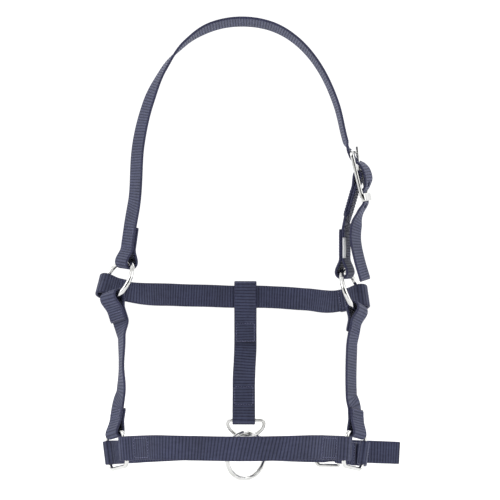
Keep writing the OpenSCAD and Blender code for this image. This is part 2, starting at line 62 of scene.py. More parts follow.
class Slot(enum.Enum):
    """Material slots of the record."""

    WEBBING = "webbing"
    THREAD = "thread"
    NICKEL = "nickel"
    LABEL = "label"


class Body(enum.Enum):
    """Bodies of the frame that the pieces ride on."""

    ROOT = "root"
    HOOP = "lower_hoop"
    LEFT_RING = "left_ring"
    RIGHT_RING = "right_ring"
    CROWN_TONGUE = "crown_tongue"
    CHIN_TONGUE = "chin_tongue"
    TIE_RING = "tie_ring"


# ---------- vectors and curves ----------


def vec(*parts: float) -> np.ndarray:
    """Returns the numbers as one vector."""
    return np.array(parts, float)


def unit(v: np.ndarray) -> np.ndarray:
    """Returns v at length 1, row by row."""
    return v / np.linalg.norm(v, axis=-1, keepdims=True)


Value = float | np.ndarray


def mix(a: Value, b: Value, s: Value) -> Value:
    """Returns the value a share s of the way from a to b."""
    return a + (b - a) * s


def ease(s: Value) -> Value:
    """Returns 3s^2 - 2s^3, which starts and ends level."""
    return s * s * (3 - 2 * s)


def square_to(v: np.ndarray, axis: np.ndarray) -> np.ndarray:
    """Returns the part of v at right angles to axis, at length 1."""
    axis = unit(axis)
    return unit(v - np.sum(v * axis, axis=-1, keepdims=True) * axis)


def evenly(rows: np.ndarray, step: float, closed: bool = False) -> np.ndarray:
    """Resamples a line at even distances.

    Args:
        rows: Points of the line; columns after the third are carried along.
        step: Wanted distance between two samples.
        closed: Whether the line runs back to its first point.

    Returns:
        The rows at even distances along the line.
    """
    if closed:
        rows = np.vstack([rows, rows[:1]])
    far = np.concatenate([[0], np.cumsum(np.linalg.norm(np.diff(rows[:, :3], axis=0), axis=1))])
    count = max(2, int(round(far[-1] / step)))
    at = np.linspace(0, far[-1], count + 1)
    out = np.stack([np.interp(at, far, column) for column in rows.T], axis=1)
    return out[:-1] if closed else out


@dataclass(frozen=True)
class Line:
    """Middle line of a strap with the direction of its width at every point."""

    points: np.ndarray
    widths: np.ndarray

    def __add__(self, other: "Line") -> "Line":
        """Returns this line with another one behind it."""
        return Line(np.vstack([self.points, other.points]),
                    np.vstack([self.widths, other.widths]))

    def backwards(self) -> "Line":
        """Returns the line from its other end."""
        return Line(self.points[::-1], self.widths[::-1])


def run(knots: list, start: np.ndarray, finish: np.ndarray, count: int = 40) -> Line:
    """Smooth line through knots, without its two end knots.

    Between two knots it is the cubic whose end slopes are the directions from each knot's
    neighbour to neighbour, times the straight distance between the two. The width direction
    turns from knot to knot along the eased share of the way.

    Args:
        knots: Pairs of point and width direction.
        start: Direction in which the line leaves the first knot.
        finish: Direction in which it reaches the last.
        count: Samples from knot to knot.

    Returns:
        The line between the two end knots.
    """
    p = np.array([k[0] for k in knots])
    w = np.array([k[1] for k in knots])
    chord = np.linalg.norm(np.diff(p, axis=0), axis=1)[:, None, None]
    slope = np.vstack([start, unit(p[2:] - p[:-2]), finish])
    s = np.linspace(0, 1, count, endpoint=False)[None, :, None]
    u, v = slope[:-1, None] * chord, slope[1:, None] * chord
    points = ((2 * s**3 - 3 * s**2 + 1) * p[:-1, None] + (s**3 - 2 * s**2 + s) * u
              + (3 * s**2 - 2 * s**3) * p[1:, None] + (s**3 - s**2) * v)
    widths = mix(w[:-1, None], w[1:, None], ease(s))
    return Line(points.reshape(-1, 3)[1:], widths.reshape(-1, 3)[1:])


# ---------- webbing ----------


@dataclass(frozen=True)
class Web:
    """Sizes of the webbing and of the loops sewn in it."""

    wide: float = 25.0
    thick: float = 2.8
    sewn: float = 38.0
    neck: float = 15.0
    play: float = 0.4
    ply_gap: float = 0.1
    rib: float = 3.05
    relief: float = 0.44
    selvedge: float = 1.6
    step: float = 0.38

    @property
    def half_sewn(self) -> float:
        """Distance from the middle of a sewn pair to the middle of one ply."""
        return (self.thick + self.ply_gap) / 2


WEB = Web()


@dataclass(frozen=True)
class Bar:
    """Bar that a loop goes round: a point on it, its direction, the half thickness to clear."""

    point: np.ndarray
    along: np.ndarray
    half: float

    def flipped(self) -> "Bar":
        """Returns the bar with its direction turned round."""
        return Bar(self.point, -self.along, self.half)

    def askew(self, edge: np.ndarray) -> "Bar":
        """Makes the bar of a loop that sits askew on it.

        Args:
            edge: Direction in which the loop's edges lie.

        Returns:
            A bar along that direction, thicker by what the slanting width takes up.
        """
        e = unit(edge)
        slant = np.sqrt(1 - min(1.0, float(e @ self.along)) ** 2)
        return Bar(self.point, e, self.half + WEB.wide / 2 * slant)


@dataclass(frozen=True)
class Seam:
    """One sewn loop: its bar, the way that the strap leaves, and how far it is sewn."""

    bar: Bar
    away: np.ndarray
    side: float = 1.0
    back: float = WEB.sewn
    tall: float = 0.0

    @property
    def ahead(self) -> np.ndarray:
        """Direction in which the strap leaves the bar."""
        return square_to(self.away, self.bar.along)

    @property
    def face(self) -> np.ndarray:
        """Direction that the face of the long ply looks in."""
        return np.cross(self.bar.along, self.ahead) * self.side

    def loop(self) -> Line:
        """Line from the cut end of the folded ply, round the bar, to the start of the strap.

        The plies lie half_sewn to each side of the middle as far as the neck. From there the
        distance eases out to the radius of the half circle that goes round the bar.

        Returns:
            The line of the loop.
        """
        radius = self.bar.half + WEB.play + WEB.thick / 2
        s = np.linspace(0.05, 1.0 if self.tall else 0.95, 20)
        flare = np.stack([WEB.neck * (1 - s), mix(WEB.half_sewn, radius, ease(s))], axis=1)
        a = np.radians(np.arange(0, 181, 6))
        arc = np.stack([-self.tall - radius * np.sin(a), -radius * np.cos(a)], axis=1)
        sewn = np.stack([np.linspace(self.back, WEB.neck, 12), np.full(12, WEB.half_sewn)], axis=1)
        flat = np.vstack([sewn * [1, -1], flare * [1, -1], arc, flare[::-1], sewn[::-1]])
        points = self.bar.point + flat[:, :1] * self.ahead + flat[:, 1:] * self.face
        return Line(points, np.tile(self.bar.along, (len(points), 1)))


def strap_between(first: Seam, second: Seam, knots: list) -> Line:
    """Draws a strap with a sewn loop at both ends.

    Args:
        first: Seam at its start.
        second: Seam at its end.
        knots: Places and width directions that it passes between them.

    Returns:
        The strap's whole line.
    """
    a, b = first.loop(), second.loop().backwards()
    ends = [(a.points[-1], a.widths[-1]), *knots, (b.points[0], b.widths[0])]
    return a + run(ends, first.ahead, -second.ahead) + b


def strap_to_cut(first: Seam, knots: list, finish: np.ndarray) -> Line:
    """Draws a strap from a sewn loop to a cut end.

    Args:
        first: Seam at its start.
        knots: Places and width directions that it passes; the last one is the cut.
        finish: Direction in which it arrives at the cut.

    Returns:
        The strap's whole line.
    """
    a = first.loop()
    ends = [(a.points[-1], a.widths[-1]), *knots]
    cut = Line(np.array([knots[-1][0]]), np.array([knots[-1][1]]))
    return a + run(ends, first.ahead, finish) + cut


# ---------- meshes ----------


@dataclass
class Skin:
    """Collects grids of points into one closed mesh and makes the finished piece of it."""

    name: str
    points: list = field(default_factory=list)
    quads: list = field(default_factory=list)
    quad_uvs: list = field(default_factory=list)
    tris: list = field(default_factory=list)
    tri_uvs: list = field(default_factory=list)
    melts: list = field(default_factory=list)
    filled: int = 0

    def wrap(self, grid: np.ndarray, looped: bool = False, uv: np.ndarray | None = None,
             melt: np.ndarray | None = None, sheet: bool = False) -> None:
        """Adds tubes: row i of a grid is one ring of points, and every ring is closed.

        The sign of the enclosed volume, a sixth of the sum of every triangle's triple product,
        tells whether the faces point outwards, and they are turned round if they don't.

        Args:
            grid: Points as tubes x rows x ring x 3, or rows x ring x 3 for one tube.
            looped: Whether the last row joins the first; otherwise both ends are closed.
            uv: Texture place of every point as rows x (ring + 1) x 2.
            melt: How far each point is melted, 0 to 1, as rows x ring.
            sheet: Whether the grid is an open sheet and not a tube.
        """
        grid = grid if grid.ndim == 4 else grid[None]
        tubes, rows, ring, _ = grid.shape
        i = np.arange(rows if looped else rows - 1)[:, None]
        j = np.arange(ring - 1 if sheet else ring)[None, :]
        up, side = (i + 1) % rows, (j + 1) % ring
        one = np.stack([i * ring + j, i * ring + side, up * ring + side, up * ring + j], axis=-1)
        one = one.reshape(-1, 4)
        if uv is None:
            down, round_ = np.meshgrid(np.linspace(0, 1, rows), np.linspace(0, 1, ring + 1),
                                       indexing="ij")
            uv = np.stack([down, round_], axis=-1)
        next_row = up if uv.shape[0] == rows else i + 1
        face_uv = np.stack([uv[i, j], uv[i, j + 1], uv[next_row, j + 1], uv[next_row, j]], axis=2)
        face_uv = face_uv.reshape(-1, 4, 2)
        flat = grid.reshape(tubes, -1, 3)
        corner = flat[0][one] - flat[0].mean(axis=0)
        volume = np.sum(np.cross(corner[:, 0], corner[:, 1]) * corner[:, 2]
                        + np.cross(corner[:, 0], corner[:, 2]) * corner[:, 3])
        turned = volume < 0 and not sheet
        if turned:
            one, face_uv = one[:, ::-1], face_uv[:, ::-1]
        count = rows * ring
        hubs = 0 if looped or sheet else 2
        offset = self.filled + np.arange(tubes) * (count + hubs)
        self.quads.append((one[None] + offset[:, None, None]).reshape(-1, 4))
        self.quad_uvs.append(np.tile(face_uv, (tubes, 1, 1)))
        melt = np.zeros((rows, ring)) if melt is None else melt
        melt = np.tile(melt.reshape(1, -1), (tubes, 1))
        if hubs:
            middles = np.stack([grid[:, 0].mean(axis=1), grid[:, -1].mean(axis=1)], axis=1)
            flat = np.concatenate([flat, middles], axis=1)
            melt = np.concatenate([melt, melt[:, :1], melt[:, -1:]], axis=1)
            jj = np.arange(ring)
            kk = (jj + 1) % ring
            last = (rows - 1) * ring
            fans = np.concatenate([
                np.stack([np.full(ring, count), kk, jj], axis=1),
                np.stack([np.full(ring, count + 1), last + jj, last + kk], axis=1)])
            fans = fans[:, ::-1] if turned else fans
            self.tris.append((fans[None] + offset[:, None, None]).reshape(-1, 3))
            ends = np.concatenate([np.full((ring, 3, 2), uv[0, 0]),
                                   np.full((ring, 3, 2), uv[-1, 0])])
            self.tri_uvs.append(np.tile(ends, (tubes, 1, 1)))
        self.points.append(flat.reshape(-1, 3))
        self.melts.append(melt.reshape(-1))
        self.filled += tubes * (count + hubs)

    def build(self) -> bpy.types.Object:
        """Returns the object, in metres, with its UV map "weave" and the attribute "melt"."""
        mesh = bpy.data.meshes.new(self.name)
        points = np.concatenate(self.points) * MM
        faces = [f for block in self.quads + self.tris for f in block.tolist()]
        mesh.from_pydata(points.tolist(), [], faces)
        uvs = np.concatenate([u.reshape(-1, 2) for u in self.quad_uvs + self.tri_uvs])
        layer = mesh.uv_layers.new(name="weave")
        layer.data.foreach_set("uv", uvs.astype(np.float32).ravel())
        melt = mesh.attributes.new("melt", "FLOAT", "POINT")
        melt.data.foreach_set("value", np.concatenate(self.melts).astype(np.float32))
        mesh.polygons.foreach_set("use_smooth", np.ones(len(mesh.polygons), bool))
        mesh.validate()
        mesh.update()
        thing = bpy.data.objects.new(self.name, mesh)
        bpy.context.scene.collection.objects.link(thing)
        return thing


@dataclass(frozen=True)
class Mood:
    """How the ribs of one strap wander: pitch at both ends, lean, and where it leans most."""

    first_rib: float = WEB.rib
    last_rib: float = WEB.rib
    lean: float = 0.0
    lean_at: float = 0.5
    seed: int = 1


def wander(far: np.ndarray, seed: int, length: float) -> np.ndarray:
    """Makes a slow seeded wave: the mean of three sines of the distance.

    Args:
        far: Distances along the strap, in mm.
        seed: Seed of the waves' shifts and rates.
        length: Distance over which the slowest of them changes, in mm.

    Returns:
        Values between -1 and 1, one for each distance.
    """
    rng = np.random.default_rng(seed)
    shift, rate = rng.uniform(0, 2 * np.pi, 3), rng.uniform(0.6, 1.9, 3)
    waves = np.sin(2 * np.pi * far[:, None] / length * rate + shift)
    return waves.mean(axis=1)


def weave(skin: Skin, line: Line, mood: Mood) -> np.ndarray:
    """Adds one strap of ribbed webbing.

    The section is a flat band with round edges. Its half thickness is the crest height less
    relief times 1 - |sin(pi * phase)|^0.7, where phase counts the ribs along the strap, and
    this relief fades out at the selvedges. The phase is the distance over the rib pitch, less
    the lean times the place across, plus a slow wave.

    Args:
        skin: The mesh that the strap goes into.
        line: The strap's middle line.
        mood: How the ribs wander.

    Returns:
        The middle points, the width directions and the face directions, as rows x 9.
    """
    rows = evenly(np.hstack([line.points, line.widths]), WEB.step)
    for _ in range(4):
        rows[1:-1, :3] = rows[1:-1, :3] / 2 + (rows[:-2, :3] + rows[2:, :3]) / 4
    p = rows[:, :3]
    along = unit(np.gradient(p, axis=0))
    wide = square_to(rows[:, 3:], along)
    face = np.cross(wide, along)
    far = np.arange(len(p)) * WEB.step
    share = far / far[-1]

    half, deep = WEB.wide / 2, WEB.thick / 2 - 0.02
    flat = vec(-11.2, -10.2, -9, -7, -4.5, -1.5, 1.5, 4.5, 7, 9, 10.2, 11.2) / 12.5 * half
    bend = np.radians(vec(62, 22, -22, -62))
    edge = half - deep
    x = np.concatenate([flat, edge + deep * np.cos(bend),
                        flat[::-1], -edge - deep * np.cos(bend)])
    z = np.concatenate([np.ones(len(flat)), np.sin(bend), -np.ones(len(flat)), -np.sin(bend)])
    ring_share = np.concatenate([(flat / half + 1) / 2, np.linspace(0.97, 1.03, 4),
                                 1 + (1 - flat[::-1] / half) / 2,
                                 np.linspace(1.97, 2.03, 4), [2.05]])

    pitch = mix(mood.first_rib, mood.last_rib, share)
    phase = np.cumsum(WEB.step / pitch) + 0.35 * wander(far, mood.seed, 90.0)
    lean = (mood.lean * np.exp(-(((share - mood.lean_at) / 0.16) ** 2))
            + 0.05 * wander(far, mood.seed + 7, 140.0))
    across = np.concatenate([x, x[:1]])
    ribs = phase[:, None] - (lean / pitch)[:, None] * across[None, :]
    crest = np.abs(np.sin(np.pi * ribs[:, :-1])) ** 0.7
    fade = np.clip((half - 0.5 - np.abs(x)) / WEB.selvedge, 0.22, 1)[None, :]
    cut = np.exp(-((far / 1.1) ** 2)) + np.exp(-(((far[-1] - far) / 1.1) ** 2))
    height = (deep - WEB.relief * (1 - crest) * fade) * (1 - 0.3 * cut)[:, None]
    spread = 1 + 0.006 * wander(far, mood.seed + 3, 60.0)[:, None] - 0.02 * cut[:, None]
    grid = (p[:, None] + wide[:, None] * (x[None, :] * spread)[..., None]
            + face[:, None] * (height * z[None, :])[..., None])
    uv = np.stack([ribs, np.broadcast_to(ring_share, ribs.shape)], axis=-1)
    melted = np.broadcast_to(np.clip(cut, 0, 1)[:, None], (len(p), len(x)))
    skin.wrap(grid, uv=uv, melt=melted)
    return np.hstack([p, wide, face])


@dataclass(frozen=True)
class Stitching:
    """Sizes of the sewing: two rows along the edges and two rows of zigzag across."""

    long: float = 2.5
    space: float = 0.75
    thread: float = 0.7
    inset: float = 2.6
    slant: float = 0.9

    def sew(self, skin: Skin, seam: Seam) -> None:
        """Adds the stitches of one seam, on both faces.

        A stitch is a tube whose middle rises as 1 - (2t - 1)^4 over its length, so its ends
        dip into the webbing, and whose radius follows the same curve.

        Args:
            skin: The mesh that the stitches go into.
            seam: The loop that is sewn.
        """
        d, b, n = seam.ahead, seam.bar.along, seam.face
        first, last = WEB.neck + 1.5, seam.back - 1.8
        y = WEB.wide / 2 - self.inset
        pitch = self.long + self.space
        rows = max(1, int((last - first) / pitch))
        at = first + (last - first - rows * pitch + self.space) / 2 + np.arange(rows) * pitch
        columns = int(2 * y / (pitch * 0.8))
        over = -y + 2 * y * (np.arange(columns) + 0.5) / columns
        lengthwise = [(x0, k * y, self.long, 0.0) for k in (-1, 1) for x0 in at]
        crosswise = [(x0 - self.slant * (-1) ** i / 2, y0 - self.long / 2.6,
                      self.slant * (-1) ** i, self.long / 1.3)
                     for x0 in (first, last) for i, y0 in enumerate(over)]
        spots = np.array(lengthwise + crosswise)
        lift = WEB.half_sewn + WEB.thick / 2 - 0.12
        start = seam.bar.point + spots[:, :1] * d + spots[:, 1:2] * b
        reach = spots[:, 2:3] * d + spots[:, 3:4] * b
        t = np.linspace(0, 1, 7)[None, :, None]
        swell = 1 - (2 * t - 1) ** 4
        around = np.radians(np.arange(0, 360, 60))
        for face in (n, -n):
            middle = (start[:, None] + reach[:, None] * t
                      + face * (lift + self.thread * 0.42 * swell))
            side = unit(np.cross(reach, face))[:, None, None]
            radius = (self.thread / 2 * (0.45 + 0.55 * swell))[..., None]
            grid = middle[:, :, None] + radius * (
                np.cos(around)[None, None, :, None] * side
                + np.sin(around)[None, None, :, None] * face)
            skin.wrap(grid)


STITCHING = Stitching()


# ---------- wire and plate ----------


def arc(centre: tuple, radius: float, start: float, finish: float) -> np.ndarray:
    """Returns points on a circle in a plane, from start to finish in degrees."""
    a = np.radians(np.linspace(start, finish, 25))
    return np.stack([centre[0] + radius * np.cos(a), centre[1] + radius * np.sin(a)], axis=1)


@dataclass(frozen=True)
class Plane:
    """Plane that a fitting lies in: its middle, and its two directions."""

    centre: np.ndarray
    ahead: np.ndarray
    up: np.ndarray

    @property
    def out(self) -> np.ndarray:
        """Direction at right angles to the plane."""
        return np.cross(self.ahead, self.up)

    def place(self, x: Value, y: Value, z: Value = 0.0) -> np.ndarray:
        """Places points in the plane's own directions.

        Args:
            x: Distances ahead.
            y: Distances up.
            z: Distances out of the plane.

        Returns:
            The points, one for each x, y, z.
        """
        x, y, z = np.broadcast_arrays(x, y, z)
        return (self.centre + x[..., None] * self.ahead + y[..., None] * self.up
                + z[..., None] * self.out)

    def turned(self, degrees: float) -> "Plane":
        """Returns the plane turned in itself, so that its forward side lifts."""
        c, s = np.cos(np.radians(degrees)), np.sin(np.radians(degrees))
        return Plane(self.centre, self.ahead * c + self.up * s, self.up * c - self.ahead * s)


def hanging(centre: np.ndarray, normal: np.ndarray, side: float) -> Plane:
    """Returns the plane of a ring from its middle and normal; side is -1 on the right."""
    return Plane(centre, side * unit(np.cross(normal, UP)), square_to(UP, normal))


def wire(skin: Skin, plane: Plane, path: np.ndarray, half: float, flat: float | None = None,
         closed: bool = True, power: float = 2.0, steps: int = 28, step: float = 0.7,
         weld: float = 0.0) -> None:
    """Adds a wire bent along a path in a plane.

    The section is the superellipse |u/half|^power + |v/flat|^power = 1, with u in the plane
    and v out of it. A weld swells it by a bell curve of the distance from the path's start.

    Args:
        skin: The mesh that the wire goes into.
        plane: The plane of the path.
        path: Points x, y of the wire's middle.
        half: Half thickness in the plane.
        flat: Half thickness out of the plane, or None for the same.
        closed: Whether the wire meets its own start.
        power: Squareness of the section.
        steps: Points round the section.
        step: Distance between two sections.
        weld: Share by which the wire swells at its weld.
    """
    flat = half if flat is None else flat
    path = evenly(np.hstack([path, np.zeros((len(path), 1))]), step, closed)
    if closed:
        tangent = np.roll(path, -1, axis=0) - np.roll(path, 1, axis=0)
    else:
        tangent = np.gradient(path, axis=0)
    tangent = unit(tangent[:, :2])
    side = np.stack([tangent[:, 1], -tangent[:, 0]], axis=1)
    a = np.linspace(0, 2 * np.pi, steps, endpoint=False)
    u = half * np.sign(np.cos(a)) * np.abs(np.cos(a)) ** (2 / power)
    v = flat * np.sign(np.sin(a)) * np.abs(np.sin(a)) ** (2 / power)
    far = np.minimum(np.arange(len(path)), np.arange(len(path), 0, -1)) * step
    swell = (1 + weld * np.exp(-((far / 1.6) ** 2)))[:, None]
    x = path[:, 0, None] + side[:, 0, None] * u * swell
    y = path[:, 1, None] + side[:, 1, None] * u * swell
    skin.wrap(plane.place(x, y, v * swell), looped=closed)


def domed_rod(skin: Skin, start: np.ndarray, finish: np.ndarray, radius: float,
              dome: float = 1.0) -> None:
    """Adds a round rod whose ends are domed.

    The radius along the rod is radius * sqrt(1 - s^2) over the last stretch at each end,
    where s runs from 0 to nearly 1 over dome radii.

    Args:
        skin: The mesh that the rod goes into.
        start: Middle of one end.
        finish: Middle of the other end.
        radius: Radius of the rod.
        dome: Length of each dome, in radii.
    """
    z = unit(finish - start)
    x = square_to(UP if abs(z[2]) < 0.9 else ACROSS, z)
    y = np.cross(z, x)
    length = np.linalg.norm(finish - start)
    s = np.sin(np.radians(np.linspace(85, 0, 9)))
    near = dome * radius * (1 - s)
    along = np.concatenate([near, length - near[::-1]])
    size = radius * np.concatenate([np.sqrt(1 - s**2), np.sqrt(1 - s**2)[::-1]])
    a = np.linspace(0, 2 * np.pi, 24, endpoint=False)[None, :, None]
    grid = (start + along[:, None, None] * z
            + size[:, None, None] * (np.cos(a) * x + np.sin(a) * y))
    skin.wrap(grid)


@dataclass(frozen=True)
class Rings:
    """Round rings, squares, tie ring and jaw dee, and the bars that they give to the straps."""

    left_x: float = 134.0
    right_x: float = 118.0
    drop: float = 276.0
    skew: float = 12.0
    cheek_drop: float = 178.0
    cheek_lead: float = 35.0
    chin_back: float = 77.0
    chin_dip: float = 10.0
    hang_x: float = 4.0
    ring_wire: float = 5.0
    ring_room: float = 18.0
    tie_room: float = 21.5
    tie_turn: float = 35.0
    tie_ease: float = 0.6
    square_wire: float = 4.2
    square_play: float = 0.5
    square_corner: float = 6.0
    square_turn: float = 14.0
    dee_wire: float = 3.8
    dee_room: float = 11.0
    dee_lean: float = 38.0
    dee_corner: float = 5.0
    rest_gap: float = 0.4

    @property
    def ring_mid(self) -> float:
        """Radius of an upper ring, at the middle of its wire."""
        return (WEB.wide + self.ring_room + self.ring_wire) / 2

    @property
    def tie_mid(self) -> float:
        """Radius of the tie ring, at the middle of its wire."""
        return (WEB.wide + self.tie_room + self.ring_wire) / 2

    @property
    def square_mid(self) -> float:
        """Half the side of a square, at the middle of its wire."""
        return (WEB.wide + self.square_play + self.square_wire) / 2 + WEB.play + WEB.thick

    @property
    def square_z(self) -> float:
        """Height of the squares."""
        return -self.drop - self.cheek_drop

    @property
    def chin_y(self) -> float:
        """How far back the chin strap hangs."""
        return self.chin_back - self.cheek_lead

    @property
    def chin_z(self) -> float:
        """Height of the chin strap's middle."""
        return self.square_z - self.chin_dip

    @property
    def left(self) -> Plane:
        """Plane of the left upper ring."""
        return hanging(vec(-self.left_x, 0, -self.drop), vec(0.70, 0.53, -0.48), 1)

    @property
    def right(self) -> Plane:
        """Plane of the right upper ring."""
        return hanging(vec(self.right_x, 0, -self.drop - self.skew), vec(-0.86, 0.35, -0.37), -1)

    @property
    def left_square(self) -> Plane:
        """Plane of the left square."""
        centre = vec(3 - self.left_x, -self.cheek_lead, self.square_z)
        return hanging(centre, vec(0.82, 0.57, 0), 1).turned(self.square_turn)

    @property
    def right_square(self) -> Plane:
        """Plane of the right square."""
        centre = vec(self.right_x, -self.cheek_lead, self.square_z)
        return hanging(centre, vec(-0.80, 0.60, 0), -1).turned(self.square_turn)

    @property
    def dee_end_z(self) -> float:
        """Height of the dee's round end, at the middle of its wire."""
        return self.chin_z + WEB.wide / 2 + self.rest_gap + self.dee_wire / 2

    @property
    def tie(self) -> Plane:
        """Plane of the tie ring."""
        top = self.dee_end_z + self.dee_wire / 2 + self.rest_gap + self.ring_wire / 2
        turn = np.radians(self.tie_turn)
        return Plane(vec(self.hang_x, self.chin_y - self.tie_ease, top - self.tie_mid),
                     vec(np.cos(turn), np.sin(turn), 0), UP)

    @property
    def dee_half(self) -> float:
        """Half the width of the dee, at the middle of its wire."""
        return (WEB.wide + self.dee_room + self.dee_wire) / 2

    @property
    def dee(self) -> Plane:
        """Plane of the dee, with its middle on the flat bar and up away from the round end."""
        lean = np.radians(self.dee_lean)
        down = vec(0, np.sin(lean), -np.cos(lean))
        end = vec(self.hang_x, self.chin_y, self.dee_end_z)
        return Plane(end - down * (self.dee_half + self.dee_corner), ACROSS, -down)

    def ring_bar(self, ring: Plane, degrees: float) -> Bar:
        """Finds the bar under a loop on an upper ring.

        Args:
            ring: Plane of the ring.
            degrees: Where the loop sits, counted from forward towards up.

        Returns:
            A bar that holds the wire's bend under the whole width of the webbing.
        """
        a = np.radians(degrees)
        high = self.ring_mid + self.ring_wire / 2
        inner = self.ring_mid - self.ring_wire / 2
        low = np.sqrt(inner**2 - (WEB.wide / 2) ** 2)
        out = ring.ahead * np.cos(a) + ring.up * np.sin(a)
        return Bar(ring.centre + out * (low + high) / 2,
                   ring.up * np.cos(a) - ring.ahead * np.sin(a), (high - low) / 2)

    def top_bar(self, square: Plane) -> Bar:
        """Returns the top bar of a square."""
        return Bar(square.centre + square.up * self.square_mid, square.ahead, self.square_wire / 2)

    def front_bar(self, square: Plane) -> Bar:
        """Returns the front bar of a square."""
        return Bar(square.centre + square.ahead * self.square_mid, square.up,
                   self.square_wire / 2)

    def back_bar(self, square: Plane) -> Bar:
        """Returns the back bar of a square."""
        return Bar(square.centre - square.ahead * self.square_mid, square.up,
                   self.square_wire / 2)

    def build(self, shop: "Workshop") -> None:
        """Makes the six rings, each a wire bent along its closed path.

        Args:
            shop: Dresses and places the pieces.
        """
        rounds = [("left_ring_wire", self.left, self.ring_mid, "left_upper_ring", Body.LEFT_RING),
                  ("right_ring_wire", self.right, self.ring_mid, "right_upper_ring",
                   Body.RIGHT_RING),
                  ("tie_ring_wire", self.tie, self.tie_mid, "tie_ring", Body.TIE_RING)]
        for name, plane, mid, node, body in rounds:
            skin = Skin(name)
            wire(skin, plane, arc((0, 0), mid, 40, 399.5), self.ring_wire / 2, weld=0.035)
            shop.metal(skin, body, node)
        side = self.square_mid - self.square_corner
        corners = [arc((sx * side, sy * side), self.square_corner, start, start + 90)
                   for sx, sy, start in ((1, 1, 0), (-1, 1, 90), (-1, -1, 180), (1, -1, 270))]
        for name, plane, node in (("left_square_wire", self.left_square, "left_square"),
                                  ("right_square_wire", self.right_square, "right_square")):
            skin = Skin(name)
            wire(skin, plane, np.vstack(corners), self.square_wire / 2, weld=0.03)
            shop.metal(skin, Body.HOOP, node)
        bar = self.dee_half - self.dee_corner
        path = np.vstack([arc((bar, -self.dee_corner), self.dee_corner, 0, 90),
                          arc((-bar, -self.dee_corner), self.dee_corner, 90, 180),
                          arc((0, -self.dee_corner), self.dee_half, 180, 359)])
        skin = Skin("jaw_dee_wire")
        wire(skin, self.dee, path, self.dee_wire / 2)
        shop.metal(skin, Body.HOOP, "jaw_dee")


